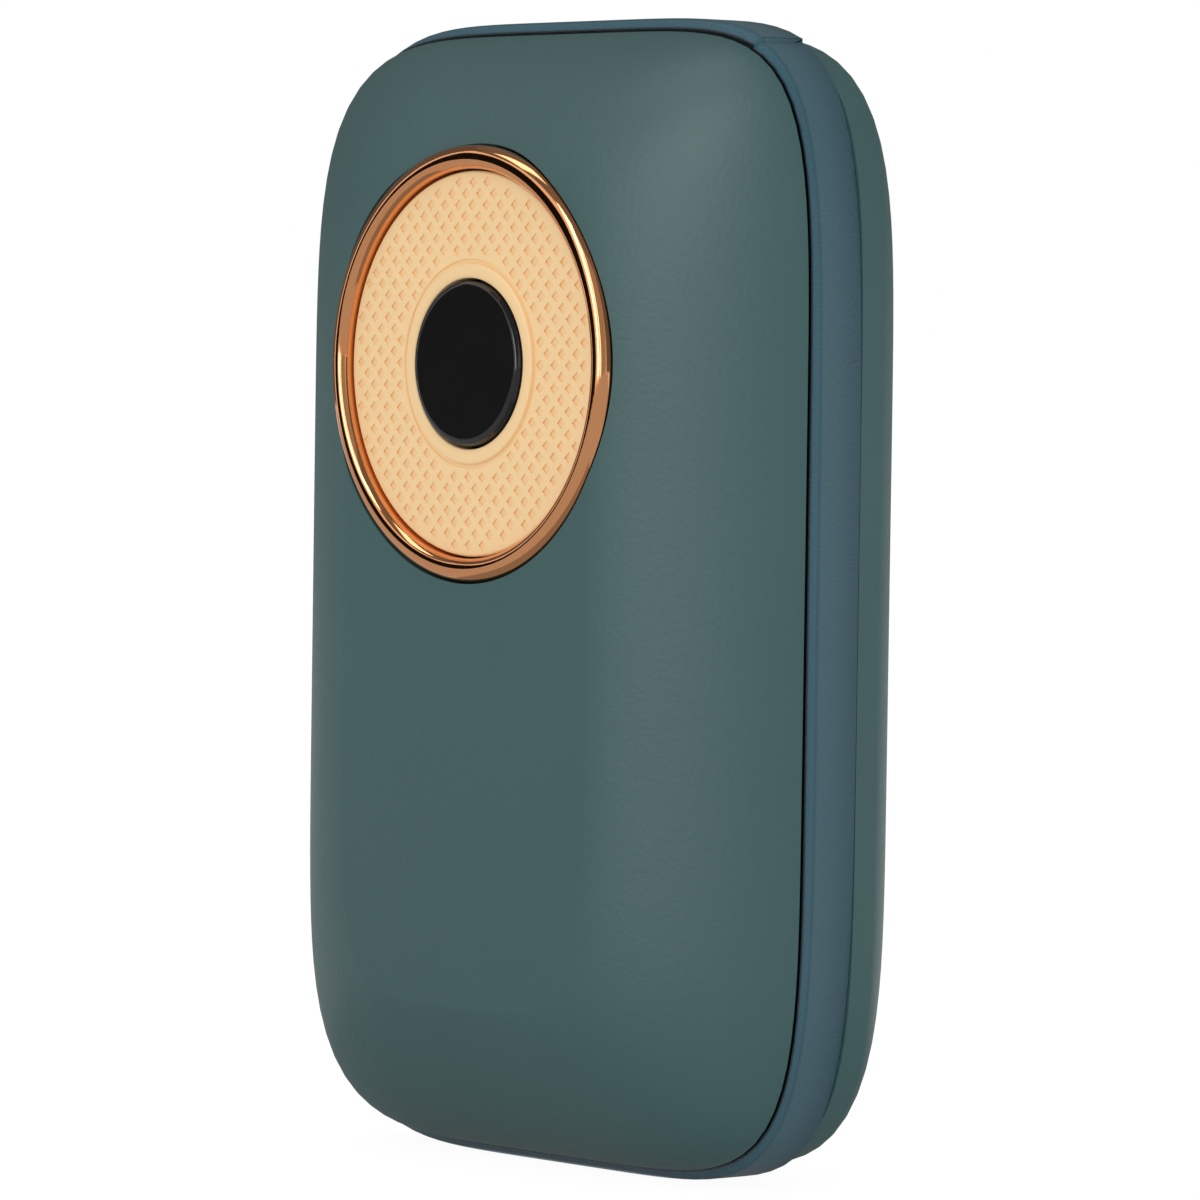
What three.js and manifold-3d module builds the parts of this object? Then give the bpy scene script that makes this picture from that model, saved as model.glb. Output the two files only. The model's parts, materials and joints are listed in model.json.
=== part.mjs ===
import * as THREE from "three";
import { mergeVertices } from "three/addons/utils/BufferGeometryUtils.js";
import Module from "manifold-3d";

// A rechargeable hand warmer, in millimetres.
// X is the width, Y the depth with the front at -Y, and Z the height.
// Every piece is placed about the centre of the body, and the last lines stand the whole thing on Z = 0.

// Body
const bodyHeight = 108;
const bodyWidth = 70.6;
const bodyDepth = 31.8;
const coverWall = 1.8;
const coverShoulderWidth = 17.5;
const coverShoulderHeight = 14.7;
const coverRimInset = 1.05;
const frontSeamGap = 0.3;
const backSeamGap = 0.1;
const fitGap = 0.3;
const glueLine = 0.1;

// Middle frame and its end plate
const frameFrontDepth = 4.1;
const frameBackDepth = 2.35;
const frameBevelDepth = 1.5;
const frameSideWall = 2.4;
const frameEndWall = 4.1;
const footWall = 1.2;
const footFrontWeb = 1.2;
const footRibThickness = 1;
const footRibSpacing = 15;
const footPocketReach = 22;
const lipReach = 1.2;
const lipRoot = 1;
const lipThickness = 1.2;
const endPlateLength = 53;
const endPlateThickness = 1.9;
const endPlateProud = 0.25;
const endPlatePegRadius = 1.1;
const endPlatePegInset = 8.5;

// Round control on the front: bead ring, disc with its collar, and button
const controlFromTop = 32.2;
const seatFloorDepth = 2.3;
const seatWall = 1.8;
const seatRimWidth = 1.6;
const ringOuterRadius = 20.44;
const ringCrestRadius = 19.15;
const ringInnerRadius = 18.2;
const ringCrestProud = 0.55;
const ringBeadHeight = 1.05;
const ringFit = 0.15;
const discEdgeSink = 0.95;
const discRise = 0.45;
const discEdgeBreak = 0.15;
const collarWidth = 1.4;
const collarRise = 0.3;
const collarGrooveWidth = 0.4;
const collarGrooveDepth = 0.25;
const buttonRadius = 7.75;
const buttonRunningGap = 0.25;
const buttonProud = 0.25;
const buttonBevelWidth = 1.55;
const buttonBevelDrop = 0.5;
const buttonTopWall = 1.45;
const buttonSideWall = 0.85;
const buttonFlangeWidth = 1.85;
const buttonFlangeThickness = 0.9;
const buttonFlangeGap = 0.2;
const buttonTravel = 0.5;
const flangeHoleGap = 0.9;

// Display board behind the button, with its switch and light display
const displayBoardThickness = 1;
const displayStandoffRadius = 2;
const displayStandoffHeight = 0.7;
const displayStandoffInset = 2;
const displayStandoffReach = 3.4;
const displayWidth = 9.6;
const displayHeight = 5.6;
const displayLift = 1.6;
const displayGap = 0.2;
const switchSide = 3.5;
const switchPlungerRadius = 0.9;
const switchBodyGap = 0.2;
const switchBaseThickness = 0.15;
const switchTouchGap = 0.05;

// Cells
const cellBoardGap = 0.4;
const cellSpacing = 0.5;
const cellBevel = 0.8;
const cellTerminalRadius = 3.2;
const cellTerminalRise = 0.6;
const stripThickness = 0.2;
const stripEndGap = 5.95;
const stripWidth = 6;
const stripTabWidth = 4;
const stripTabInset = 1.8;

// Chassis
const chassisBottomRail = 4.3;
const chassisSideRail = 13.65;
const chassisCrossRail = 1.4;
const chassisTopRail = 2.8;
const chassisPocketWeb = 2.7;
const chassisPocketFromLug = 5.8;
const chassisPocketFromTop = 11.5;
const chassisLedge = 1.5;
const lugRadius = 4;
const lugWebLength = 8;
const lugFromEnd = 14.2;

// Main board and its parts
const boardThickness = 1.6;
const boardHeight = 23.3;
const boardLugGap = 2.5;
const boardTabWidth = 13;
const boardTabRise = 2.7;
const boardScrewInset = 2.3;
const portWidth = 8.94;
const portHeight = 3.26;
const portLength = 7.3;
const portWall = 0.3;
const portRecess = 0.5;
const portBack = 2.2;
const portTongueWidth = 6.6;
const portTongueThickness = 0.7;
const portTongueSink = 0.8;
const portGap = 0.2;
const solderGap = 0.05;

// Heating layers
const heatPlateThickness = 0.8;
const heatPlateMargin = 1;
const heaterFilmThickness = 0.25;
const heaterFilmMargin = 0.1;
const padCellGap = 0.1;
const frontHeaterGap = 1.3;

// Leads
const leadRadius = 0.5;
const leadSteps = 18;
const leadSides = 6;
const leadSpacing = 1.6;
// Heater lead's route: out from the film's edge, and up from the main board's lower edge
const heaterLeadRoute = [
  [5, -24.2],
  [7.6, -15.2],
  [7, -6.2],
  [4.5, 2.8],
];
const heaterLeadTuck = 2.65;
const heaterLeadInset = 3.2;
const heaterLeadUp = 8;
const redLeadX = 12;
const blackLeadX = 8;
const thermistorRadius = 1.1;
const thermistorLift = 2.2;
const ribbonWidth = 6;
const ribbonThickness = 0.25;
const ribbonBend = 2;
const ribbonRise = 3.6;

// Parts soldered to the main board: share of its half width, height up it, size, and rise off its face
const ribbonConnector = { acrossShare: 0, up: 4.5, width: 8, height: 3, rise: 1.6 };
const inductor = { acrossShare: 0.57, up: 13, width: 6, height: 6, rise: 3 };
const chargeChip = { acrossShare: -0.42, up: 12, width: 5, height: 5, rise: 0.9 };
const heaterChip = { acrossShare: 0.42, up: 11, width: 5, height: 4, rise: 1.4 };
const storeCapacitor = { acrossShare: -0.47, up: 11, width: 3.2, height: 2.5, rise: 1.8 };

// Screws
const chassisScrew = { headRadius: 1.9, headHeight: 1.1, shaftRadius: 0.9, length: 3.9, slot: 0.5 };
const boardScrew = { headRadius: 1.5, headHeight: 0.8, shaftRadius: 0.7, length: 2.4, slot: 0.4 };
const screwHoleGap = 0.2;
const screwBlindGap = 0.3;

// Roundness: 1 is an ellipse and 0 a square, for the outline's width and its height
const frameRoundShares = [0.361, 0.36];
const coverRoundShares = [0.381, 0.292];
// Crown of the covers: 1 is a quarter ellipse and 2 a straight slope
const coverCrownShare = 1.41;
// Bend of the button's bevel and rounding of the disc's collar, across and up
const buttonBevelShares = [0.7, 0.35];
const collarCrownShares = [
  [0.2, 0.7],
  [0.5, 1],
  [0.85, 0.7],
];
// Depth of the heater lead's route, from the middle plane to the film
const heaterLeadDepthShares = [0.843, 0.557, 0.334, 0.302];
// Reach of a screw's cross recess in its head
const crossReachShare = 0.6;
// The two outlines' straight stretches, as shares of their half width and half height
const flatStretchShares = [0.34, 0.37];

const outlineStepsPerCorner = 8;
const crownSteps = 6;
const turnSides = 40;
const beadSteps = 4;
const smallSides = 12;
const slotSides = 5;
const lugSides = 24;
const cellSides = 28;
const cutOverrun = 2;
// Corners closer than this are one corner
const weldDistance = 0.0001;

const halfWidth = bodyWidth / 2;
const halfHeight = bodyHeight / 2;
const halfDepth = bodyDepth / 2;
const rimDepth = frameFrontDepth + frontSeamGap;
// How far the back cover runs straight past its rim, on to the frame's back face
const backWallReach = rimDepth - frameBackDepth - backSeamGap;
const quarterTurn = Math.PI / 2;

const kernel = await Module();
kernel.setup();

// A closed geometry as a solid that can be joined and cut.
function solidOf(geometry) {
  const bare = geometry.index ? geometry.toNonIndexed() : geometry.clone();
  bare.deleteAttribute("normal");
  bare.deleteAttribute("uv");
  const merged = mergeVertices(bare, weldDistance);
  const corners = merged.index.array;
  const faces = [];
  for (let i = 0; i < corners.length; i += 3) {
    const [a, b, c] = [corners[i], corners[i + 1], corners[i + 2]];
    if (a !== b && b !== c && c !== a) {
      faces.push(a, b, c);
    }
  }
  const mesh = new kernel.Mesh({
    numProp: 3,
    vertProperties: merged.attributes.position.array,
    triVerts: new Uint32Array(faces),
  });
  return new kernel.Manifold(mesh);
}

function geometryOf(solid) {
  const mesh = solid.getMesh();
  const positions = new Float32Array(mesh.numVert * 3);
  for (let i = 0; i < mesh.numVert; i += 1) {
    positions.set(mesh.vertProperties.subarray(i * mesh.numProp, i * mesh.numProp + 3), i * 3);
  }
  const indexed = new THREE.BufferGeometry();
  indexed.setAttribute("position", new THREE.BufferAttribute(positions, 3));
  indexed.setIndex(new THREE.BufferAttribute(new Uint32Array(mesh.triVerts), 1));
  const geometry = indexed.toNonIndexed();
  geometry.computeVertexNormals();
  return geometry;
}

// Rounded rectangle as a superellipse with one straight stretch on each side.
function outline(a, b, roundShares) {
  const [roundX, roundZ] = roundShares;
  const [topShare, sideShare] = flatStretchShares;
  const first = Math.asin(Math.pow(sideShare, 1 / roundZ));
  const last = Math.acos(Math.pow(topShare, 1 / roundX));
  const corner = [];
  for (let i = 0; i <= outlineStepsPerCorner; i += 1) {
    const angle = first + ((last - first) * i) / outlineStepsPerCorner;
    const x = i === 0 ? a : a * Math.pow(Math.cos(angle), roundX);
    const z = i === outlineStepsPerCorner ? b : b * Math.pow(Math.sin(angle), roundZ);
    corner.push(new THREE.Vector2(x, z));
  }
  const mirrored = corner.slice().reverse();
  return [
    ...corner,
    ...mirrored.map((p) => new THREE.Vector2(-p.x, p.y)),
    ...corner.map((p) => new THREE.Vector2(-p.x, -p.y)),
    ...mirrored.map((p) => new THREE.Vector2(p.x, -p.y)),
  ];
}

// Closed skin through rings of points, each at its own depth, from the front ring to the back ring.
function loft(rings) {
  const count = rings[0].points.length;
  const positions = [];
  const index = [];
  rings.forEach(({ points, y }) => points.forEach((p) => positions.push(p.x, y, p.y)));
  for (let r = 0; r + 1 < rings.length; r += 1) {
    for (let i = 0; i < count; i += 1) {
      const here = r * count + i;
      const beside = r * count + ((i + 1) % count);
      index.push(here, here + count, beside, beside, here + count, beside + count);
    }
  }
  const front = positions.length / 3;
  positions.push(0, rings[0].y, 0);
  const back = front + 1;
  positions.push(0, rings[rings.length - 1].y, 0);
  const lastRing = (rings.length - 1) * count;
  for (let i = 0; i < count; i += 1) {
    const next = (i + 1) % count;
    index.push(front, i, next);
    index.push(back, lastRing + next, lastRing + i);
  }
  const geometry = new THREE.BufferGeometry();
  geometry.setAttribute("position", new THREE.Float32BufferAttribute(positions, 3));
  geometry.setIndex(index);
  return solidOf(geometry);
}

// Straight prism of an outline between two depths.
function prism(a, b, roundShares, yFront, yBack) {
  const points = outline(a, b, roundShares);
  return loft([
    { points, y: yFront },
    { points, y: yBack },
  ]);
}

function box(xLow, xHigh, yLow, yHigh, zLow, zHigh) {
  const geometry = new THREE.BoxGeometry(xHigh - xLow, yHigh - yLow, zHigh - zLow);
  geometry.translate((xLow + xHigh) / 2, (yLow + yHigh) / 2, (zLow + zHigh) / 2);
  return solidOf(geometry);
}

// Cylinder along Y.
function rod(radius, yFront, yBack, x, z, sides = smallSides) {
  const geometry = new THREE.CylinderGeometry(radius, radius, yBack - yFront, sides);
  geometry.translate(x, (yFront + yBack) / 2, z);
  return solidOf(geometry);
}

// Cylinder along Z.
function post(radius, zLow, zHigh, x, y, sides = smallSides) {
  const geometry = new THREE.CylinderGeometry(radius, radius, zHigh - zLow, sides);
  geometry.rotateX(quarterTurn);
  geometry.translate(x, y, (zLow + zHigh) / 2);
  return solidOf(geometry);
}

// A profile of radius and depth turned about the control's axis, which runs along Y.
function turned(profile, z, sides = turnSides) {
  const points = profile.map(([radius, y]) => new THREE.Vector2(radius, y));
  const geometry = new THREE.LatheGeometry(points, sides);
  geometry.translate(0, 0, z);
  return solidOf(geometry);
}

// Flat piece drawn in X and Y and raised along Z.
function slab(shape, zLow, zHigh, curveSegments = slotSides) {
  const raised = { depth: zHigh - zLow, bevelEnabled: false, curveSegments };
  const geometry = new THREE.ExtrudeGeometry(shape, raised);
  geometry.translate(0, 0, zLow);
  return solidOf(geometry);
}

// Slot shape with round ends, centred, its length along X.
function slotShape(length, width) {
  const radius = width / 2;
  const reach = length / 2 - radius;
  const shape = new THREE.Shape();
  shape.moveTo(-reach, -radius);
  shape.lineTo(reach, -radius);
  shape.absarc(reach, 0, radius, -quarterTurn, quarterTurn, false);
  shape.lineTo(-reach, radius);
  shape.absarc(-reach, 0, radius, quarterTurn, -quarterTurn + 2 * Math.PI, false);
  return shape;
}

// Section drawn along a smooth curve through the points.
function swept(section, points) {
  const extrudePath = new THREE.CatmullRomCurve3(points.map((p) => new THREE.Vector3(...p)));
  return solidOf(new THREE.ExtrudeGeometry(section, { steps: leadSteps, extrudePath, bevelEnabled: false }));
}

// Round lead that follows its points.
function lead(points) {
  const section = [];
  for (let i = 0; i < leadSides; i += 1) {
    const angle = (2 * Math.PI * i) / leadSides;
    section.push(new THREE.Vector2(leadRadius * Math.cos(angle), leadRadius * Math.sin(angle)));
  }
  return swept(new THREE.Shape(section), points);
}

const finishes = {
  coverPaint: { color: 0x475f60, roughness: 0.5, metalness: 0 },
  framePaint: { color: 0x475b62, roughness: 0.45, metalness: 0 },
  roseGold: { color: 0xc98a5f, roughness: 0.12, metalness: 1 },
  creamPlastic: { color: 0xeeca98, roughness: 0.55, metalness: 0 },
  blackGloss: { color: 0x181818, roughness: 0.08, metalness: 0 },
  blackPlastic: { color: 0x1d1d1f, roughness: 0.6, metalness: 0 },
  greyPlastic: { color: 0x8a8d8f, roughness: 0.6, metalness: 0 },
  boardGreen: { color: 0x1d5a37, roughness: 0.45, metalness: 0 },
  steel: { color: 0xb9bcc0, roughness: 0.3, metalness: 1 },
  nickel: { color: 0xc8c5ba, roughness: 0.35, metalness: 1 },
  aluminium: { color: 0xc6c9cc, roughness: 0.4, metalness: 1 },
  amberFilm: { color: 0xb86a1c, roughness: 0.3, metalness: 0 },
  whiteFoam: { color: 0xe7e5df, roughness: 0.95, metalness: 0 },
  cellWrap: { color: 0x2f6fb5, roughness: 0.35, metalness: 0 },
  redWire: { color: 0xb5231c, roughness: 0.5, metalness: 0 },
  blackWire: { color: 0x151515, roughness: 0.5, metalness: 0 },
  whiteWire: { color: 0xe4e2da, roughness: 0.5, metalness: 0 },
};

const warmer = new THREE.Group();

function addPiece(name, solid, finish) {
  const mesh = new THREE.Mesh(geometryOf(solid), new THREE.MeshStandardMaterial(finishes[finish]));
  mesh.name = name;
  warmer.add(mesh);
  return mesh;
}

// Front half of a pillow: a shoulder that rises from the rim and crowns over to a flat front.
// The overrun carries the rim's outline on past the rim, for a straight wall or a cut.
function pillow(inset, frontDepth, overrun = 0) {
  const rings = [];
  for (let i = crownSteps; i >= 0; i -= 1) {
    const angle = (quarterTurn * i) / crownSteps;
    const drawIn = 1 - Math.pow(Math.max(0, Math.cos(angle)), coverCrownShare);
    const rise = Math.pow(Math.sin(angle), coverCrownShare);
    const a = halfWidth - inset - coverShoulderWidth * drawIn;
    const b = halfHeight - coverRimInset - inset - coverShoulderHeight * drawIn;
    rings.push({ points: outline(a, b, coverRoundShares), y: -rimDepth - (frontDepth - rimDepth) * rise });
  }
  if (overrun > 0) {
    rings.push({ points: rings[rings.length - 1].points, y: -rimDepth + overrun });
  }
  return loft(rings);
}

const frameInner = [halfWidth - frameSideWall, halfHeight - frameEndWall];
const lipOuter = frameInner.map((v) => v - fitGap);
const lipInner = lipOuter.map((v) => v - lipThickness);
const coverInnerFront = halfDepth - coverWall;
const lipEnd = frameFrontDepth - lipReach;
const controlZ = halfHeight - controlFromTop;

// Cover shell, drawn at the front. Its rim can run on straight, as a wall.
function coverShell(wallReach) {
  const hollow = pillow(coverWall, coverInnerFront, wallReach + cutOverrun).intersect(
    prism(...lipInner, frameRoundShares, -halfDepth, 0),
  );
  return pillow(0, halfDepth, wallReach).subtract(hollow);
}

// Lip of the front cover, which drops inside the middle frame.
function frontLip() {
  return prism(...lipOuter, frameRoundShares, -rimDepth - lipRoot, -lipEnd).subtract(
    prism(...lipInner, frameRoundShares, -halfDepth, 0),
  );
}

// The back cover stands on the frame's back face, and its wall is cut back round the chassis inside.
function backCover() {
  return coverShell(backWallReach).subtract(prism(...frameInner, frameRoundShares, -lipEnd, 0));
}

// Depths of the control's layers, measured forward from the middle plane
const seatFloor = halfDepth - seatFloorDepth;
const seatBack = seatFloor - seatWall;
const discBack = seatFloor + glueLine;
const boardFront = seatBack - displayStandoffHeight - glueLine;
const boardBack = boardFront - displayBoardThickness;
const flangeFront = discBack - buttonFlangeGap;
const flangeBack = flangeFront - buttonFlangeThickness;
const flangeRadius = buttonRadius + buttonFlangeWidth;
const standoffRing = flangeRadius + displayStandoffReach;
const displayBoardRadius = standoffRing + displayStandoffInset;
const standoffAngles = [1 / 6, 5 / 6, 3 / 2].map((share) => share * Math.PI);
const standoffPlaces = standoffAngles.map((angle) => [
  standoffRing * Math.cos(angle),
  controlZ + standoffRing * Math.sin(angle),
]);
const boardScrewHole = boardScrew.shaftRadius + screwHoleGap;
const boardScrewTip = boardBack + boardScrew.length;

function frontCover() {
  const seatRadius = ringOuterRadius + ringFit;
  let cover = coverShell(0).add(frontLip());
  const inside = pillow(coverWall / 2, halfDepth - coverWall / 2);
  const boss = rod(seatRadius + seatRimWidth, -halfDepth, -seatBack, 0, controlZ, turnSides);
  cover = cover.add(boss.intersect(inside));
  for (const [x, z] of standoffPlaces) {
    cover = cover.add(rod(displayStandoffRadius, -seatFloor, -boardFront - glueLine, x, z));
  }
  cover = cover.subtract(rod(seatRadius, -halfDepth - cutOverrun, -seatFloor, 0, controlZ, turnSides));
  const through = flangeRadius + flangeHoleGap;
  cover = cover.subtract(rod(through, -halfDepth, -seatBack + cutOverrun, 0, controlZ, turnSides));
  for (const [x, z] of standoffPlaces) {
    cover = cover.subtract(rod(boardScrewHole, -boardScrewTip - screwBlindGap, -boardBack, x, z));
  }
  return cover;
}

// Section of the middle frame: bevel, then a flat side face that runs to the back edge.
function frameBand(grow) {
  const face = outline(halfWidth + grow, halfHeight - coverRimInset + grow, coverRoundShares);
  const side = outline(halfWidth + grow, halfHeight + grow, frameRoundShares);
  return loft([
    { points: face, y: -frameFrontDepth },
    { points: side, y: frameBevelDepth - frameFrontDepth },
    { points: side, y: frameBackDepth },
  ]);
}

const endPlateUnder = [halfWidth - endPlateThickness, halfHeight - endPlateThickness];
const endPlateDeck = endPlateUnder.map((v) => v - fitGap);
const pegPlaces = [-1, 1].map((side) => side * (endPlateLength / 2 - endPlatePegInset));
const chassisHalfDepth = lipEnd - fitGap;

// Cells stand side by side in the chassis window, as thick as the rails and the display board allow.
const chassisOuter = lipOuter;
const roomAcross = (chassisOuter[0] - chassisSideRail - fitGap - cellSpacing / 2) / 2;
const cellRadius = Math.min(roomAcross, boardBack - cellBoardGap);
const cellX = cellRadius + cellSpacing / 2;
const windowHalf = cellX + cellRadius + fitGap;
const lugX = (windowHalf + chassisOuter[0]) / 2;
const lugZ = halfHeight - lugFromEnd;
const lugPlaces = [
  [-lugX, -lugZ],
  [lugX, -lugZ],
  [-lugX, lugZ],
  [lugX, lugZ],
];
const lugFace = fitGap / 2;

// Round lug for a chassis screw, with a web that runs out to the corner of the frame.
function lug([x, z], grow, yFront, yBack) {
  const radius = lugRadius + grow;
  const web = new THREE.BoxGeometry(2 * radius, yBack - yFront, lugWebLength);
  web.translate(0, 0, lugWebLength / 2);
  web.rotateY(Math.atan2(Math.sign(x), Math.sign(z)));
  web.translate(x, (yFront + yBack) / 2, z);
  return rod(radius, yFront, yBack, x, z, lugSides).add(solidOf(web));
}

const chassisScrewHole = chassisScrew.shaftRadius + screwHoleGap;
const chassisScrewTip = chassisScrew.length - chassisHalfDepth;

// Hole for the charging socket, through the end plate and the deck under it.
function portHole() {
  return slab(slotShape(portWidth + 2 * portGap, portHeight + 2 * portGap), 0, halfHeight + cutOverrun);
}

// The bottom end wall is cored out from the back, between two ribs, so that no wall is thick.
const footRibs = [-1, 1].map((side) => (side * footRibSpacing) / 2);
const footPocketEnds = [
  [-footPocketReach, footRibs[0] - footRibThickness / 2],
  [footRibs[0] + footRibThickness / 2, footRibs[1] - footRibThickness / 2],
  [footRibs[1] + footRibThickness / 2, footPocketReach],
];
const footPocketFront = footFrontWeb - frameFrontDepth;

function footPockets() {
  const inWall = [halfWidth - footWall, halfHeight - footWall];
  const within = prism(...inWall, frameRoundShares, footPocketFront, halfDepth);
  return footPocketEnds.map(([left, right]) =>
    box(left, right, footPocketFront, halfDepth, -halfHeight, -frameInner[1] + cutOverrun).intersect(within),
  );
}

function middleFrame() {
  const reach = endPlateLength / 2 + fitGap;
  const above = box(-reach, reach, -halfDepth, halfDepth, 0, halfHeight + cutOverrun);
  const notch = above.subtract(prism(...endPlateDeck, frameRoundShares, -halfDepth, halfDepth));
  const inWall = frameInner.map((v) => v + lipThickness);
  const within = prism(...inWall, frameRoundShares, -frameFrontDepth, frameBackDepth);
  let frame = frameBand(0).subtract(prism(...frameInner, frameRoundShares, -halfDepth, halfDepth));
  for (const place of lugPlaces) {
    frame = frame.add(lug(place, 0, lugFace, chassisHalfDepth).intersect(within));
    frame = frame.subtract(rod(chassisScrewHole, 0, chassisScrewTip + screwBlindGap, ...place));
  }
  frame = frame.subtract(notch).subtract(portHole());
  for (const pocket of footPockets()) {
    frame = frame.subtract(pocket);
  }
  for (const x of pegPlaces) {
    frame = frame.subtract(post(endPlatePegRadius + fitGap, 0, halfHeight, x, 0));
  }
  return frame;
}

function topEndPlate() {
  const reach = endPlateLength / 2;
  const above = box(-reach, reach, -halfDepth, halfDepth, 0, halfHeight + cutOverrun);
  let plate = frameBand(endPlateProud).intersect(above);
  plate = plate.subtract(prism(...endPlateUnder, frameRoundShares, -halfDepth, halfDepth));
  plate = plate.subtract(portHole());
  for (const x of pegPlaces) {
    plate = plate.add(post(endPlatePegRadius, frameInner[1], halfHeight - endPlateThickness / 2, x, 0));
  }
  return plate;
}

// Bead ring, disc and button, as profiles of radius and depth.
const ringCrest = halfDepth + ringCrestProud;
const ringShoulder = ringCrest - ringBeadHeight;
const discRadius = ringInnerRadius - ringFit;
const discEdge = halfDepth - discEdgeSink;
const collarInner = buttonRadius + buttonRunningGap;
const collarOuter = collarInner + collarWidth;
const grooveOuter = collarOuter + collarGrooveWidth;
const discTop = discEdge + discRise;
const buttonFace = halfDepth + buttonProud;
const buttonCeiling = buttonFace - buttonTopWall;
const buttonHollow = buttonRadius - buttonSideWall;

function trimRing() {
  const profile = [[ringInnerRadius, -discBack]];
  for (let i = 0; i <= 2 * beadSteps; i += 1) {
    const angle = (quarterTurn * i) / beadSteps;
    const side = i <= beadSteps ? ringInnerRadius : ringOuterRadius;
    const radius = ringCrestRadius - Math.abs(ringCrestRadius - side) * Math.cos(angle);
    profile.push([radius, -ringShoulder - ringBeadHeight * Math.sin(angle)]);
  }
  profile.push([ringOuterRadius, -discBack], [ringInnerRadius, -discBack]);
  return turned(profile, controlZ);
}

function gripDisc() {
  const collar = collarCrownShares.map(([across, up]) => [
    collarInner + collarWidth * across,
    -discTop - collarRise * up,
  ]);
  return turned(
    [
      [collarInner, -discBack],
      [collarInner, -discTop],
      ...collar,
      [collarOuter, -discTop + collarGrooveDepth],
      [grooveOuter, -discTop + collarGrooveDepth],
      [grooveOuter, -discTop],
      [discRadius - discEdgeBreak, -discEdge],
      [discRadius, -discEdge + discEdgeBreak],
      [discRadius, -discBack],
      [collarInner, -discBack],
    ],
    controlZ,
  );
}

function powerButton() {
  const flat = buttonRadius - buttonBevelWidth;
  const [bevelRunShare, bevelDropShare] = buttonBevelShares;
  return turned(
    [
      [0, -buttonFace],
      [flat, -buttonFace],
      [flat + buttonBevelWidth * bevelRunShare, -buttonFace + buttonBevelDrop * bevelDropShare],
      [buttonRadius, -buttonFace + buttonBevelDrop],
      [buttonRadius, -flangeFront],
      [flangeRadius, -flangeFront],
      [flangeRadius, -flangeBack],
      [buttonHollow, -flangeBack],
      [buttonHollow, -buttonCeiling],
      [0, -buttonCeiling],
    ],
    controlZ,
  );
}

// Switch under the button's flange, on the lower edge of the display board.
const switchZ = controlZ - (buttonHollow + flangeRadius) / 2;
const switchBodyTop = flangeBack - buttonTravel - switchBodyGap;
const plungerTop = flangeBack - switchTouchGap;
const plungerFoot = boardFront + switchBaseThickness + solderGap + switchBodyGap / 2 + buttonTravel;

function tactSwitch() {
  const half = switchSide / 2;
  const body = box(-half, half, -switchBodyTop, -boardFront - solderGap, switchZ - half, switchZ + half);
  const floor = boardFront + solderGap + switchBaseThickness;
  const well = switchPlungerRadius + switchBodyGap;
  return body.subtract(rod(well, -switchBodyTop - cutOverrun, -floor, 0, switchZ));
}

function displayBoard() {
  let board = rod(displayBoardRadius, -boardFront, -boardBack, 0, controlZ, turnSides);
  for (const [x, z] of standoffPlaces) {
    board = board.subtract(rod(boardScrewHole, -boardFront - cutOverrun, -boardBack + cutOverrun, x, z));
  }
  return board;
}

function ledDisplay() {
  const top = buttonCeiling - buttonTravel - displayGap;
  const low = controlZ + displayLift - displayHeight / 2;
  return box(-displayWidth / 2, displayWidth / 2, -top, -boardFront - solderGap, low, low + displayHeight);
}

// Screw along Y, its head seated at depth y and facing the front or the back, with a cross recess.
function screw(size, x, y, z, facesFront) {
  const turn = facesFront ? 1 : -1;
  const headEnd = y - turn * size.headHeight;
  const headMiddle = (y + headEnd) / 2;
  const tip = y + turn * size.length;
  const outside = headEnd - turn * cutOverrun;
  const head = rod(size.headRadius, Math.min(y, headEnd), Math.max(y, headEnd), x, z);
  const shaft = rod(size.shaftRadius, Math.min(headMiddle, tip), Math.max(headMiddle, tip), x, z);
  const [low, high] = [Math.min(headMiddle, outside), Math.max(headMiddle, outside)];
  const half = size.headRadius * crossReachShare;
  const arm = size.slot / 2;
  const cross = box(x - half, x + half, low, high, z - arm, z + arm).add(
    box(x - arm, x + arm, low, high, z - half, z + half),
  );
  return head.add(shaft).subtract(cross);
}

// The main board hangs from the top rail, and the cells fill the window between it and the bottom rail.
const boardHigh = chassisOuter[1] - chassisTopRail - fitGap;
const boardLow = boardHigh - boardHeight;
const boardHalf = lugX - lugRadius - boardLugGap;
const windowHigh = boardLow - fitGap - chassisCrossRail;
const windowLow = -chassisOuter[1] + chassisBottomRail;
const cellLow = windowLow + fitGap + stripThickness + glueLine;
const cellHigh = windowHigh - fitGap - stripThickness - glueLine - cellTerminalRise;

function batteryCell(x) {
  const profile = [
    [0, cellLow],
    [cellRadius - cellBevel, cellLow],
    [cellRadius, cellLow + cellBevel],
    [cellRadius, cellHigh - cellBevel],
    [cellRadius - cellBevel, cellHigh],
    [cellTerminalRadius, cellHigh],
    [cellTerminalRadius, cellHigh + cellTerminalRise],
    [0, cellHigh + cellTerminalRise],
  ].map(([radius, z]) => new THREE.Vector2(radius, z));
  const geometry = new THREE.LatheGeometry(profile, cellSides);
  geometry.rotateX(quarterTurn);
  geometry.translate(x, 0, 0);
  return solidOf(geometry);
}

// The strip's tab reaches forward between the cells, where its lead starts.
const stripTabFront = cellRadius - stripTabInset;

function cellStrip(zLow, withTab) {
  const [halfLength, half, halfTab] = [windowHalf - stripEndGap, stripWidth / 2, stripTabWidth / 2];
  const zHigh = zLow + stripThickness;
  const strip = box(-halfLength, halfLength, -half, half, zLow, zHigh);
  if (!withTab) {
    return strip;
  }
  return strip.add(box(-halfTab, halfTab, -stripTabFront, 0, zLow, zHigh));
}

const boardFaceY = boardThickness / 2;
const boardScrewPlaces = [-1, 1].map((side) => [
  side * (boardHalf - boardScrewInset),
  boardLow + boardScrewInset,
]);
const portTop = halfHeight + endPlateProud - portRecess;
const portLow = portTop - portLength;

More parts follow.
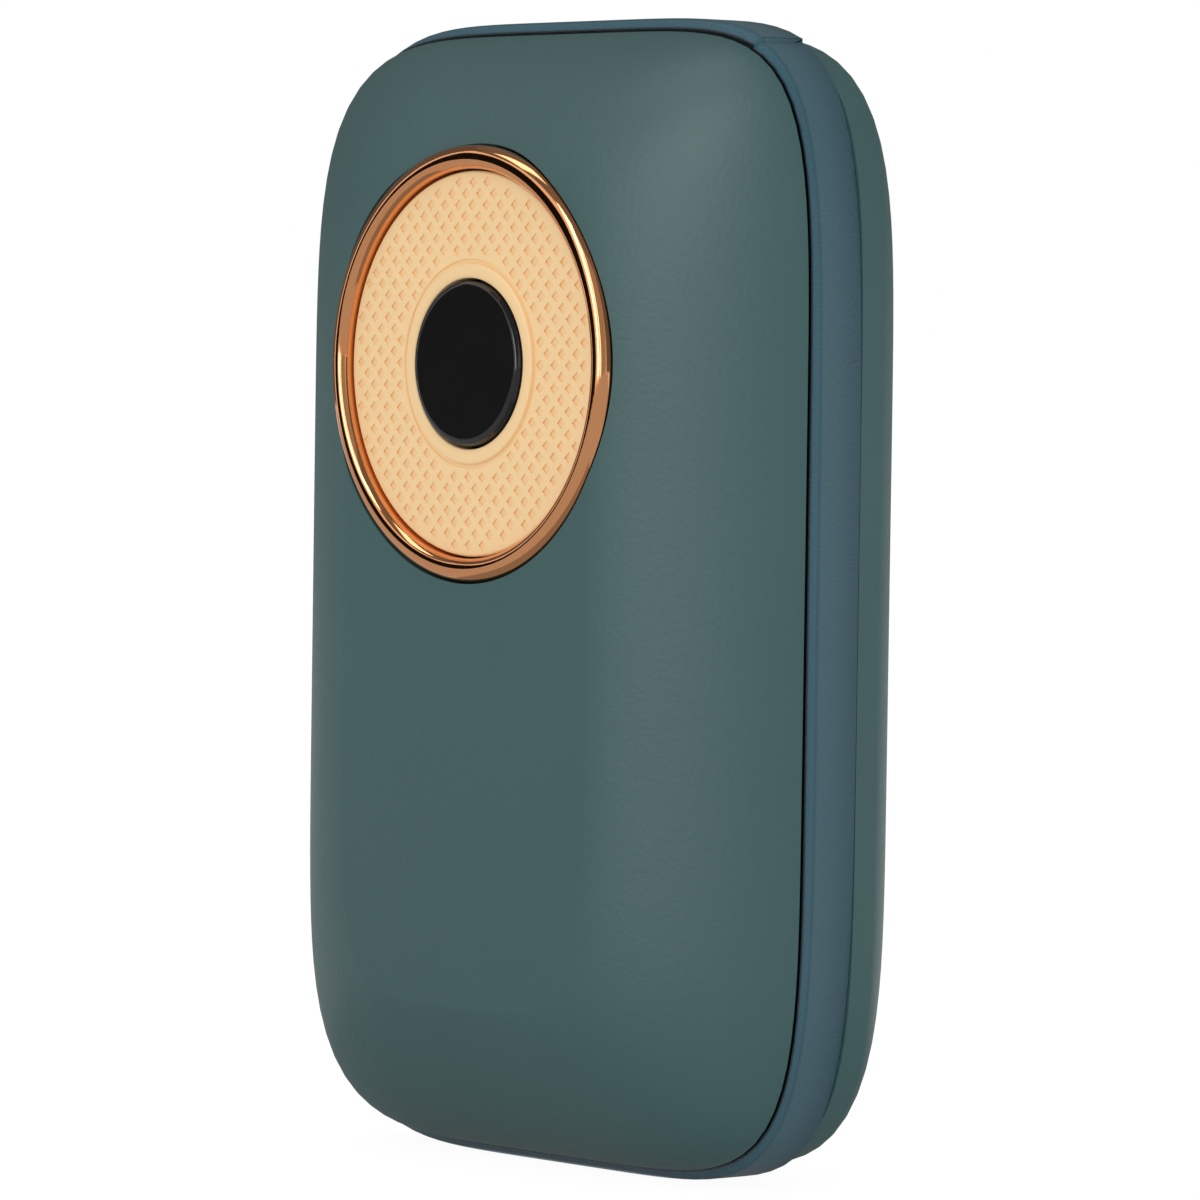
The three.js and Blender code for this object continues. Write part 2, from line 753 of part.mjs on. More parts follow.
function innerChassis() {
  const deep = chassisHalfDepth + cutOverrun;
  let chassis = prism(...chassisOuter, frameRoundShares, -chassisHalfDepth, chassisHalfDepth);
  chassis = chassis.subtract(box(-windowHalf, windowHalf, -deep, deep, windowLow, windowHigh));
  const ledgeFace = boardFaceY + glueLine;
  const wide = boardHalf + fitGap;
  chassis = chassis.subtract(box(-wide, wide, -deep, ledgeFace, boardLow - fitGap, boardHigh + fitGap));
  let opening = box(
    -wide + chassisLedge,
    wide - chassisLedge,
    -deep,
    deep,
    boardLow - fitGap + chassisLedge,
    boardHigh + fitGap - chassisLedge,
  );
  for (const [x, z] of boardScrewPlaces) {
    opening = opening.subtract(rod(boardScrewInset, ledgeFace, deep, x, z));
  }
  chassis = chassis.subtract(opening);
  for (const [x, z] of boardScrewPlaces) {
    chassis = chassis.subtract(rod(boardScrewHole, -deep, deep, x, z));
  }
  const tab = boardTabWidth / 2 + fitGap;
  chassis = chassis.subtract(box(-tab, tab, -deep, deep, portLow - fitGap, chassisOuter[1] + cutOverrun));
  const pocketHalf = (chassisOuter[0] - windowHalf) / 2 - chassisPocketWeb;
  const pocketLow = -lugZ + chassisPocketFromLug;
  const pocketHigh = windowHigh - chassisPocketFromTop;
  for (const middle of [-lugX, lugX]) {
    const [near, far] = [middle - pocketHalf, middle + pocketHalf];
    chassis = chassis.subtract(box(near, far, -deep, deep, pocketLow, pocketHigh));
  }
  for (const place of lugPlaces) {
    chassis = chassis.subtract(lug(place, fitGap, -lugFace, deep));
    chassis = chassis.subtract(rod(chassisScrewHole, -deep, deep, ...place));
  }
  return chassis;
}

function mainBoard() {
  const tab = boardTabWidth / 2;
  let board = box(-boardHalf, boardHalf, -boardFaceY, boardFaceY, boardLow, boardHigh);
  board = board.add(box(-tab, tab, -boardFaceY, boardFaceY, boardLow, boardHigh + boardTabRise));
  const slot = portWidth / 2 + portGap;
  board = board.subtract(box(-slot, slot, -boardThickness, boardThickness, portLow - portGap, halfHeight));
  for (const [x, z] of boardScrewPlaces) {
    board = board.subtract(rod(boardScrewHole, -boardThickness, boardThickness, x, z));
  }
  return board;
}

function portShell() {
  const shell = slab(slotShape(portWidth, portHeight), portLow, portTop);
  const mouth = slotShape(portWidth - 2 * portWall, portHeight - 2 * portWall);
  return shell.subtract(slab(mouth, portLow + portWall, portTop + cutOverrun));
}

function portTongue() {
  const insert = 2 * (portWall + solderGap);
  const floor = portLow + portWall + solderGap;
  const base = slab(slotShape(portWidth - insert, portHeight - insert), floor, floor + portBack);
  const half = portTongueWidth / 2;
  const thin = portTongueThickness / 2;
  return base.add(box(-half, half, -thin, thin, floor, portTop - portTongueSink));
}

function boardPart({ acrossShare, up, width, height, rise }, onFront) {
  const x = boardHalf * acrossShare;
  const near = boardFaceY + solderGap;
  const z = boardLow + up;
  const [yLow, yHigh] = onFront ? [-near - rise, -near] : [near, near + rise];
  return box(x - width / 2, x + width / 2, yLow, yHigh, z - height / 2, z + height / 2);
}

// Heating layers between a cover and the cells, drawn at the front.
const heatHalf = [
  halfWidth - coverWall - coverShoulderWidth,
  halfHeight - coverRimInset - coverWall - coverShoulderHeight,
];
const plateOuter = coverInnerFront - glueLine;
const plateInner = plateOuter - heatPlateThickness;
const filmOuter = plateInner - glueLine;
const filmInner = filmOuter - heaterFilmThickness;
const padOuter = filmInner - glueLine;
const padInner = cellRadius + padCellGap;
const frontHeaterTop = controlZ - ringOuterRadius - ringFit - seatRimWidth - frontHeaterGap;

function heatLayer(margin, outer, inner, top) {
  const [a, b] = heatHalf;
  const layer = prism(a - margin, b - margin, coverRoundShares, -outer, -inner);
  return layer.intersect(box(-bodyWidth, bodyWidth, -bodyDepth, bodyDepth, -bodyHeight, top - margin));
}

// Leads and the thermistor run in the valleys between the round cells, or beside them.
const soldered = boardFaceY + fitGap;
const filmMiddle = (filmOuter + filmInner) / 2;
const heaterLeadStart = heatHalf[0] - heaterFilmMargin + fitGap;
const heaterLeadSide = Math.max(heaterLeadStart, cellX + cellRadius - heaterLeadTuck);
const thermistorZ = (cellLow + cellHigh) / 2 + thermistorLift;
const stripHigh = cellHigh + cellTerminalRise + glueLine;
const stripLow = cellLow - glueLine - stripThickness;
const thermistorY = padInner - fitGap - thermistorRadius;
const connectorTop = boardLow + ribbonConnector.up + ribbonConnector.height / 2;

// One heater lead from the film's side edge, round the cell, to the main board.
function heaterLead(toFront, order) {
  const side = toFront ? -1 : 1;
  const shift = order * leadSpacing;
  const last = heaterLeadRoute.length - 1;
  const middle = heaterLeadRoute.map(([out, up], i) => [
    heaterLeadSide + out + shift,
    side * filmMiddle * heaterLeadDepthShares[i],
    boardLow + up + (shift * (2 * i - last)) / last,
  ]);
  const end = boardLow + heaterLeadUp + shift;
  return lead([
    [heaterLeadStart, side * filmMiddle, boardLow + heaterLeadRoute[0][1] - leadSpacing - shift],
    ...middle,
    [boardHalf - heaterLeadInset, side * (soldered + leadSpacing), end],
    [boardHalf - heaterLeadInset, side * soldered, end],
  ]);
}

// Lead from the front edge of the strip over the cells.
function redLead() {
  const front = stripWidth / 2 + fitGap + leadRadius;
  const bottom = stripHigh + stripThickness / 2;
  return lead([
    [-redLeadX, -front, bottom],
    [-redLeadX, -front - leadRadius, bottom + leadSpacing],
    [-redLeadX, -front, boardLow + leadSpacing],
    [-redLeadX, -soldered - leadSpacing, boardLow + 3 * leadSpacing],
    [-redLeadX, -soldered, boardLow + 3 * leadSpacing],
  ]);
}

// Lead from the tab of the strip under the cells, up the front valley.
function blackLead() {
  const valley = stripTabFront - leadRadius;
  return lead([
    [0, -valley, stripLow + stripThickness + fitGap],
    [0, -valley, (stripLow + stripHigh) / 2],
    [0, -valley, stripHigh - leadSpacing],
    [-blackLeadX / 2, -valley / 2 - leadRadius, boardLow],
    [-blackLeadX, -soldered - leadSpacing, boardLow + 3 * leadSpacing],
    [-blackLeadX, -soldered, boardLow + 3 * leadSpacing],
  ]);
}

function thermistorLead() {
  return lead([
    [0, thermistorY, thermistorZ + thermistorRadius + fitGap],
    [0, thermistorY, stripHigh - leadSpacing],
    [0, thermistorY / 2, boardLow + leadSpacing],
    [0, soldered + leadSpacing, boardLow + 4 * leadSpacing],
    [0, soldered, boardLow + 4 * leadSpacing],
  ]);
}

function thermistor() {
  const bead = new THREE.SphereGeometry(thermistorRadius, smallSides, smallSides / 2);
  bead.translate(0, thermistorY, thermistorZ);
  return solidOf(bead);
}

// Flat cable from the back of the display board to its connector on the main board.
function displayRibbon() {
  const [half, thin] = [ribbonWidth / 2, ribbonThickness / 2];
  const section = new THREE.Shape([
    new THREE.Vector2(-half, -thin),
    new THREE.Vector2(half, -thin),
    new THREE.Vector2(half, thin),
    new THREE.Vector2(-half, thin),
  ]);
  const start = -boardBack + fitGap;
  const end = -boardFaceY - ribbonConnector.rise / 2;
  const high = connectorTop + ribbonRise;
  return swept(section, [
    [0, start, high],
    [0, start + ribbonBend, high],
    [0, (start + end) / 2, high + ribbonBend / 2],
    [0, end - ribbonBend / 2, high],
    [0, end, connectorTop + ribbonBend],
    [0, end, connectorTop + fitGap],
  ]);
}

addPiece("front_cover", frontCover(), "coverPaint");
addPiece("back_cover", backCover(), "coverPaint").rotation.z = Math.PI;
addPiece("mid_frame", middleFrame(), "framePaint");
addPiece("top_end_plate", topEndPlate(), "framePaint");
addPiece("trim_ring", trimRing(), "roseGold");
addPiece("grip_disc", gripDisc(), "creamPlastic");
addPiece("power_button", powerButton(), "blackGloss");
addPiece("switch_plunger", rod(switchPlungerRadius, -plungerTop, -plungerFoot, 0, switchZ), "blackPlastic");
addPiece("tact_switch", tactSwitch(), "steel");
addPiece("display_board", displayBoard(), "boardGreen");
addPiece("led_display", ledDisplay(), "blackPlastic");
addPiece("display_ribbon", displayRibbon(), "whiteWire");
addPiece("inner_chassis", innerChassis(), "greyPlastic");
addPiece("main_board", mainBoard(), "boardGreen");
addPiece("usb_c_shell", portShell(), "steel");
addPiece("usb_c_tongue", portTongue(), "blackPlastic");
addPiece("ribbon_connector", boardPart(ribbonConnector, true), "whiteWire");
addPiece("inductor", boardPart(inductor, true), "blackPlastic");
addPiece("charge_chip", boardPart(chargeChip, true), "blackPlastic");
addPiece("heater_driver_chip", boardPart(heaterChip, false), "blackPlastic");
addPiece("store_capacitor", boardPart(storeCapacitor, false), "creamPlastic");
addPiece("battery_cell_left", batteryCell(-cellX), "cellWrap");
addPiece("battery_cell_right", batteryCell(cellX), "cellWrap");
addPiece("cell_strip_top", cellStrip(stripHigh, false), "nickel");
addPiece("cell_strip_bottom", cellStrip(stripLow, true), "nickel");
const frontPlate = heatLayer(heatPlateMargin, plateOuter, plateInner, frontHeaterTop);
const frontFilm = heatLayer(heaterFilmMargin, filmOuter, filmInner, frontHeaterTop);
const frontPad = heatLayer(heatPlateMargin, padOuter, padInner, frontHeaterTop);
const backPlate = heatLayer(heatPlateMargin, plateOuter, plateInner, bodyHeight);
const backFilm = heatLayer(heaterFilmMargin, filmOuter, filmInner, bodyHeight);
const backPad = heatLayer(heatPlateMargin, padOuter, padInner, bodyHeight);
addPiece("front_heat_plate", frontPlate, "aluminium");
addPiece("front_heater_film", frontFilm, "amberFilm");
addPiece("front_foam_pad", frontPad, "whiteFoam");
addPiece("back_heat_plate", backPlate, "aluminium").rotation.z = Math.PI;
addPiece("back_heater_film", backFilm, "amberFilm").rotation.z = Math.PI;
addPiece("back_foam_pad", backPad, "whiteFoam").rotation.z = Math.PI;
addPiece("battery_lead_red", redLead(), "redWire");
addPiece("battery_lead_black", blackLead(), "blackWire");
[1, 2].forEach((order) => {
  addPiece(`front_heater_lead_${order}`, heaterLead(true, order - 1), "whiteWire");
  addPiece(`back_heater_lead_${order}`, heaterLead(false, order - 1), "whiteWire");
});
addPiece("thermistor", thermistor(), "blackPlastic");
addPiece("thermistor_lead", thermistorLead(), "whiteWire");
lugPlaces.forEach(([x, z], i) => {
  const seated = screw(chassisScrew, x, -chassisHalfDepth - solderGap, z, true);
  addPiece(`chassis_screw_${i + 1}`, seated, "steel");
});
boardScrewPlaces.forEach(([x, z], i) => {
  const seated = screw(boardScrew, x, -boardFaceY - solderGap, z, true);
  addPiece(`board_screw_${i + 1}`, seated, "steel");
});
standoffPlaces.forEach(([x, z], i) => {
  const seated = screw(boardScrew, x, -boardBack + solderGap, z, false);
  addPiece(`display_screw_${i + 1}`, seated, "steel");
});

// The whole body stands on the flat end of the middle frame.
warmer.position.set(0, ringCrestProud / 2, halfHeight);

export default warmer;
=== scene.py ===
import json
import math
import bpy
import bmesh
from mathutils import Matrix, Vector


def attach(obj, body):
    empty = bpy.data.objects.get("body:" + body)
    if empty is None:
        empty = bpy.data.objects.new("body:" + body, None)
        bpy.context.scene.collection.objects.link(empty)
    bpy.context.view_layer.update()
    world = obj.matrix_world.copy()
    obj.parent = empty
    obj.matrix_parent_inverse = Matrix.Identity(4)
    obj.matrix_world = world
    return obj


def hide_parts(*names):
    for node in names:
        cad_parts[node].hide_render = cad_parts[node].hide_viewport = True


# A rechargeable hand warmer that stands on its lower end, with its front at -Y.
# Two painted covers close a painted band, and a round control with a push button sits in the front.
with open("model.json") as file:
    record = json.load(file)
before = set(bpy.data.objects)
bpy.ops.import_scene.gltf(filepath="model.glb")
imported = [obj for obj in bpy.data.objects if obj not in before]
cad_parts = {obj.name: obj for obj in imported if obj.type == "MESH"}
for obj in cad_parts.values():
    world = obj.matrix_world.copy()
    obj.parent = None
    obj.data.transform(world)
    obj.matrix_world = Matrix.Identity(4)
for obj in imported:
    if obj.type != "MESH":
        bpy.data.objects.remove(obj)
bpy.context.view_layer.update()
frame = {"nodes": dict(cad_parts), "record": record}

# The view: a long lens, at the front right and a little above the middle, turned slightly in its mount.
middle = Vector((0, 0.000275, 0.05412))
azimuth = math.radians(50.092)
elevation = math.radians(2.145)
lean = math.radians(0.814)
view_distance = 0.680803
view_right = 0.000609
view_down = 0.000614
sensor_width = 36
lens_length = 215.1
away = Vector((
    math.sin(azimuth) * math.cos(elevation),
    -math.cos(azimuth) * math.cos(elevation),
    math.sin(elevation),
))
level = Vector((math.cos(azimuth), math.sin(azimuth), 0))
upright = away.cross(level)
right = math.cos(lean) * level + math.sin(lean) * upright
up = math.cos(lean) * upright - math.sin(lean) * level
place = middle + away * view_distance + right * view_right - up * view_down
bpy.ops.object.camera_add()
camera = bpy.context.object
camera.name = "camera"
camera.matrix_world = Matrix.Translation(place) @ Matrix((right, up, away)).transposed().to_4x4()
camera.data.sensor_width = sensor_width
camera.data.lens = lens_length
camera.data.clip_start = 0.01
bpy.context.scene.camera = camera


# The middle band: one moulded ring between the covers, painted blue-green. Its front edge has a wide bevel,
# and its side face runs flat to a sharp back edge. Four lugs inside take the chassis screws, and the thick
# lower wall is cored out from the back, between two ribs.
# Sizes are in metres, and each depth counts from the middle plane, which lies at depth_middle.
half_width = 0.0353
half_height = 0.054
mid_height = half_height
depth_middle = 0.000275
frame_face = 0.0041
frame_ridge = 0.0028
frame_back = 0.00205
face_inset = 0.0001
rim_inset = 0.00105
side_wall = 0.0024
end_wall = 0.0041
band_inner = (half_width - side_wall, half_height - end_wall)
inner_chamfer = 0.0003
ridge_round = 0.0003
back_round = 0.00006
frame_curve = 0.779
frame_reach = 0.997
cover_curve = 0.773
cover_reach = 0.8197
corner_steps = 34
lug_radius = 0.004
lug_across = 0.02582
lug_high = 0.0398
lug_front = 0.00015
lug_web = 0.008
lug_root = 0.0005
lug_hole = 0.0011
lug_hole_end = 0.0018
pocket_front = -0.0029
pocket_wall = 0.0012
pocket_ends = ((-0.022, -0.008), (-0.007, 0.007), (0.008, 0.022))
# Painted shade by depth, front to back: a dark line at the cover joint, a bluer bevel stripe, a darker back.
band_painted_shade = (
    (0, (0.03, 0.04, 0.05, 1)),
    (0.025, (0.2, 0.26, 0.3, 1)),
    (0.05, (0.62, 0.86, 0.95, 1)),
    (0.15, (0.68, 0.95, 1, 1)),
    (0.19, (0.55, 0.72, 0.8, 1)),
    (0.25, (1, 1, 1, 1)),
    (0.55, (0.9, 0.92, 0.94, 1)),
    (1, (0.6, 0.66, 0.7, 1)),
)
near = 0.00001
weld = 0.000001
overrun = 0.001
past_sides = 0.02
past_top = 0.2
smooth_angle = 30


def shade(red, green, blue):
    """A colour as it looks on a screen, from 0 to 255, as the shader wants it."""
    parts = [v / 255 for v in (red, green, blue)]
    return (*[v / 12.92 if v <= 0.04045 else ((v + 0.055) / 1.055) ** 2.4 for v in parts], 1)


def surface_group():
    """Fine grain and slow mottling, as any moulded, painted or rolled surface has, for every finish."""
    group = bpy.data.node_groups.new("surface_grain", "ShaderNodeTree")
    face = group.interface
    for way, name, kind in (
        ("INPUT", "Deep", "Color"),
        ("INPUT", "Bright", "Color"),
        ("INPUT", "Mottle Size", "Float"),
        ("INPUT", "Grain Size", "Float"),
        ("INPUT", "Grain Depth", "Float"),
        ("INPUT", "Stretch", "Vector"),
        ("INPUT", "Rough Low", "Float"),
        ("INPUT", "Rough High", "Float"),
        ("OUTPUT", "Color", "Color"),
        ("OUTPUT", "Roughness", "Float"),
        ("OUTPUT", "Normal", "Vector"),
    ):
        face.new_socket(name, in_out=way, socket_type="NodeSocket" + kind)
    nodes, links = group.nodes, group.links
    given = nodes.new("NodeGroupInput")
    result = nodes.new("NodeGroupOutput")
    where = nodes.new("ShaderNodeTexCoord")
    mottle = nodes.new("ShaderNodeTexNoise")
    mottle.inputs["Detail"].default_value = 4
    grain = nodes.new("ShaderNodeTexNoise")
    grain.inputs["Detail"].default_value = 3
    stretch = nodes.new("ShaderNodeVectorMath")
    stretch.operation = "MULTIPLY"
    tone = nodes.new("ShaderNodeMix")
    tone.data_type = "RGBA"
    rough = nodes.new("ShaderNodeMapRange")
    bump = nodes.new("ShaderNodeBump")
    bump.inputs["Distance"].default_value = 0.001
    links.new(where.outputs["Object"], stretch.inputs[0])
    links.new(given.outputs["Stretch"], stretch.inputs[1])
    links.new(stretch.outputs["Vector"], mottle.inputs["Vector"])
    links.new(stretch.outputs["Vector"], grain.inputs["Vector"])
    links.new(given.outputs["Mottle Size"], mottle.inputs["Scale"])
    links.new(given.outputs["Grain Size"], grain.inputs["Scale"])
    links.new(mottle.outputs["Fac"], tone.inputs["Factor"])
    links.new(given.outputs["Deep"], tone.inputs["A"])
    links.new(given.outputs["Bright"], tone.inputs["B"])
    links.new(grain.outputs["Fac"], rough.inputs["Value"])
    links.new(given.outputs["Rough Low"], rough.inputs["To Min"])
    links.new(given.outputs["Rough High"], rough.inputs["To Max"])
    links.new(grain.outputs["Fac"], bump.inputs["Height"])
    links.new(given.outputs["Grain Depth"], bump.inputs["Strength"])
    links.new(tone.outputs["Result"], result.inputs["Color"])
    links.new(rough.outputs["Result"], result.inputs["Roughness"])
    links.new(bump.outputs["Normal"], result.inputs["Normal"])
    return group


surface_grain = surface_group()


def finish(name, deep, bright, rough, mottle=60, grain=2500, depth=0.05, stretch=(1, 1, 1), **sockets):
    """A material whose colour, roughness and fine relief come from the grain, with its own fixed sockets."""
    material = bpy.data.materials.new(name)
    material.use_nodes = True
    nodes, links = material.node_tree.nodes, material.node_tree.links
    skin = nodes["Principled BSDF"]
    life = nodes.new("ShaderNodeGroup")
    life.node_tree = surface_grain
    life.inputs["Deep"].default_value = deep
    life.inputs["Bright"].default_value = bright
    life.inputs["Mottle Size"].default_value = mottle
    life.inputs["Grain Size"].default_value = grain
    life.inputs["Grain Depth"].default_value = depth
    life.inputs["Stretch"].default_value = stretch
    life.inputs["Rough Low"].default_value = rough[0]
    life.inputs["Rough High"].default_value = rough[1]
    links.new(life.outputs["Color"], skin.inputs["Base Color"])
    links.new(life.outputs["Roughness"], skin.inputs["Roughness"])
    links.new(life.outputs["Normal"], skin.inputs["Normal"])
    for socket, value in sockets.items():
        skin.inputs[socket.replace("_", " ")].default_value = value
    return material


def wear(piece, material):
    """Gives a finished piece one material."""
    piece.data.materials.clear()
    piece.data.materials.append(material)


def lay_outline(name, across, high, y, curve, reach):
    """A rectangle that faces the front, whose corners are bevelled into long curves that meet."""
    bpy.ops.object.select_all(action="DESELECT")
    bpy.ops.mesh.primitive_plane_add(size=2, rotation=(math.radians(90), 0, 0))
    plate = bpy.context.object
    plate.name = name
    bpy.ops.object.transform_apply(location=True, rotation=True, scale=True)
    bpy.ops.object.mode_set(mode="EDIT")
    bpy.ops.mesh.select_all(action="SELECT")
    bpy.ops.transform.resize(value=(1, 1, 1 / reach), center_override=(0, 0, 0))
    bpy.ops.mesh.bevel(
        offset_type="OFFSET", offset=1, segments=corner_steps, profile=curve, affect="VERTICES",
        clamp_overlap=True,
    )
    bpy.ops.mesh.remove_doubles(threshold=near)
    bpy.ops.transform.resize(value=(across, 1, high * reach), center_override=(0, 0, 0))
    bpy.ops.transform.translate(value=(0, y + depth_middle, mid_height))
    bpy.ops.object.mode_set(mode="OBJECT")
    return plate


def take(piece):
    """Makes a piece the active one, and the only one that is selected."""
    bpy.ops.object.select_all(action="DESELECT")
    piece.select_set(True)
    bpy.context.view_layer.objects.active = piece


def pick_edges(piece, wanted):
    """Selects the edges for which a test holds, and nothing else, in edit mode."""
    bpy.ops.mesh.select_mode(type="EDGE")
    bpy.ops.mesh.select_all(action="DESELECT")
    mesh = bmesh.from_edit_mesh(piece.data)
    for edge in mesh.edges:
        if wanted(edge):
            edge.select_set(True)
    bmesh.update_edit_mesh(piece.data)


def settle(piece, angle=smooth_angle):
    """Welds a finished piece, turns its faces outwards and smooths it up to an angle."""
    take(piece)
    bpy.ops.object.mode_set(mode="EDIT")
    bpy.ops.mesh.select_all(action="SELECT")
    bpy.ops.mesh.remove_doubles(threshold=weld)
    bpy.ops.mesh.normals_make_consistent(inside=False)
    bpy.ops.object.mode_set(mode="OBJECT")
    bpy.ops.object.shade_smooth_by_angle(angle=math.radians(angle))
    return piece


def apply(piece, modifier):
    """Applies one modifier to its piece."""
    take(piece)
    bpy.ops.object.modifier_apply(modifier=modifier.name)


def work(piece, tool, way="DIFFERENCE"):
    """Cuts a piece with a tool, joins the tool to it, or keeps what they share. The tool is used up."""
    modifier = piece.modifiers.new("work", "BOOLEAN")
    modifier.solver = "EXACT"
    modifier.operation = way
    modifier.material_mode = "TRANSFER"
    modifier.object = tool
    apply(piece, modifier)
    bpy.data.objects.remove(tool)
    return piece


def rod(radius, front, back, x, z, sides=96):
    """A round bar along the depth, from one depth to the other."""
    bpy.ops.object.select_all(action="DESELECT")
    bpy.ops.mesh.primitive_cylinder_add(
        vertices=sides, radius=radius, depth=back - front, rotation=(math.radians(90), 0, 0),
        location=(x, (front + back) / 2, z),
    )
    bpy.ops.object.transform_apply(location=True, rotation=True, scale=True)
    return bpy.context.object


def block(low, high):
    """A plain block between two corners, used as a tool."""
    bpy.ops.object.select_all(action="DESELECT")
    bpy.ops.mesh.primitive_cube_add(size=1, location=[(a + b) / 2 for a, b in zip(low, high)])
    tool = bpy.context.object
    tool.scale = [b - a for a, b in zip(low, high)]
    bpy.ops.object.transform_apply(location=True, rotation=True, scale=True)
    return tool


def slab(across, high, front, back):
    """A solid with the band's outline, between two depths."""
    plate = lay_outline("slab", across, high, back, frame_curve, frame_reach)
    bpy.ops.object.mode_set(mode="EDIT")
    bpy.ops.mesh.select_all(action="SELECT")
    bpy.ops.mesh.extrude_region_move(TRANSFORM_OT_translate={"value": (0, front - back, 0)})
    close_rim(plate, back)
    bpy.ops.object.mode_set(mode="OBJECT")
    return settle(plate)


def at_depth(point, y):
    """Whether a point lies at a depth that is measured from the middle plane."""
    return abs(point.co.y - y - depth_middle) < near


def close_rim(piece, y):
    """Fills the open outline that a piece has at one depth, in edit mode."""
    pick_edges(piece, lambda edge: edge.is_boundary and at_depth(edge.verts[0], y))
    bpy.ops.mesh.edge_face_add()


def band(name, grow, inner_across, inner_high):
    """A closed ring: the band's outlines from face to face, bridged, and bridged back along the inside."""
    cover_like = (cover_curve, cover_reach)
    side_like = (frame_curve, frame_reach)
    loops = [
        (half_width - face_inset + grow, half_height - rim_inset + grow, -frame_face, cover_like),
        (half_width + grow, half_height + grow, -frame_ridge, side_like),
        (half_width + grow, half_height + grow, frame_back, side_like),
        (inner_across, inner_high, frame_back - inner_chamfer, side_like),
        (inner_across, inner_high, inner_chamfer - frame_face, side_like),
    ]
    plates = [lay_outline("loop", a, b, y, *like) for a, b, y, like in loops]
    bpy.ops.object.select_all(action="DESELECT")
    for plate in plates:
        plate.select_set(True)
    bpy.context.view_layer.objects.active = plates[0]
    bpy.ops.object.join()
    ring = bpy.context.object
    ring.name = name
    bpy.ops.object.mode_set(mode="EDIT")
    bpy.ops.mesh.select_all(action="SELECT")
    bpy.ops.mesh.delete(type="ONLY_FACE")
    count = len(ring.data.vertices) // len(loops)
    for first in range(len(loops)):
        pairs = [{first}, {(first + 1) % len(loops)}]
        pick_edges(ring, lambda edge: {vert.index // count for vert in edge.verts} in pairs)
        bpy.ops.mesh.bridge_edge_loops()
    bpy.ops.object.mode_set(mode="OBJECT")
    return settle(ring)


def soften_edge(ring, y, width):
    """Rounds the edge between a ring's side face and what meets it at one depth."""

    def outer_edge(edge):
        first = edge.verts[0].co
        out = Vector((first.x, 0, first.z - mid_height))
        beside = any(abs(face.normal.y) < 0.1 and face.normal.dot(out) > 0 for face in edge.link_faces)
        return beside and all(at_depth(vert, y) for vert in edge.verts)

    bpy.ops.object.mode_set(mode="EDIT")
    pick_edges(ring, outer_edge)
    bpy.ops.mesh.bevel(offset_type="OFFSET", offset=width, segments=4, profile=0.5, affect="EDGES")
    bpy.ops.object.mode_set(mode="OBJECT")


ring = band("middle_band", 0, *band_inner)
soften_edge(ring, -frame_ridge, ridge_round)
soften_edge(ring, frame_back, back_round)
for side in (-1, 1):
    for end in (-1, 1):
        x, z = side * lug_across, mid_height + end * lug_high
        front, back = depth_middle + lug_front, depth_middle + frame_back
        lug = rod(lug_radius, front, back, x, z, 48)
        far = z + end * lug_web
        work(lug, block((x - lug_radius, front, min(z, far)), (x + lug_radius, back, max(z, far))), "UNION")
        inside = [size + lug_root for size in band_inner]
        work(lug, slab(*inside, -frame_face, frame_back), "INTERSECT")
        work(lug, rod(lug_hole, 0, depth_middle + lug_hole_end, x, z, 24))
        work(ring, lug, "UNION")
for left_end, right_end in pocket_ends:
    low = (left_end, depth_middle + pocket_front, -overrun)
    high = (right_end, past_sides, mid_height - band_inner[1] + overrun)
    bounds = slab(half_width - pocket_wall, half_height - pocket_wall, -half_height, half_height)
    work(ring, work(block(low, high), bounds, "INTERSECT"))
middle_band = settle(ring)
band_paint = finish(
    "band_paint", shade(64, 96, 107), shade(69, 101, 112), (0.36, 0.5), mottle=45, grain=3200, depth=0.22,
    Specular_IOR_Level=0.4,
)
# The band's colour is multiplied by that painted shade, read from each point's depth.
nodes, links = band_paint.node_tree.nodes, band_paint.node_tree.links
where = nodes.new("ShaderNodeTexCoord")
apart = nodes.new("ShaderNodeSeparateXYZ")
span = nodes.new("ShaderNodeMapRange")
span.inputs["From Min"].default_value = depth_middle - frame_face
span.inputs["From Max"].default_value = depth_middle + frame_back
tones = nodes.new("ShaderNodeValToRGB")
stops = tones.color_ramp.elements
for stop, (position, tone) in zip(stops, (band_painted_shade[0], band_painted_shade[-1])):
    stop.position = position
    stop.color = tone
for position, tone in band_painted_shade[1:-1]:
    stops.new(position).color = tone
shadow = nodes.new("ShaderNodeMix")
shadow.data_type = "RGBA"
shadow.blend_type = "MULTIPLY"
shadow.inputs["Factor"].default_value = 1
links.new(where.outputs["Object"], apart.inputs["Vector"])
links.new(apart.outputs["Y"], span.inputs["Value"])
links.new(span.outputs["Result"], tones.inputs["Fac"])
links.new(tones.outputs["Color"], shadow.inputs["B"])
links.new(nodes["Group"].outputs["Color"], shadow.inputs["A"])
links.new(shadow.outputs["Result"], nodes["Principled BSDF"].inputs["Base Color"])
wear(middle_band, band_paint)
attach(middle_band, "body")
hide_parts("mid_frame")


# The plate over the top of the band: a separate moulding in the same paint, a little proud of the band, with
# softened ends. It lies on a deck cut down into the band, two pegs under it drop into the band, and the
# charging socket's mouth goes through both.
plate_half = 0.0265
plate_proud = 0.00025
plate_thickness = 0.0019
plate_tuck = 0.0004
plate_end_round = 0.00018
sharp_bend = 0.8
deck = (half_width - plate_thickness, half_height - plate_thickness)
top = mid_height + half_height
port_across = 0.00934
port_deep = 0.00366
port_reach = 0.02
peg_places = (-0.018, 0.018)
peg_radius = 0.0011
peg_length = 0.0032


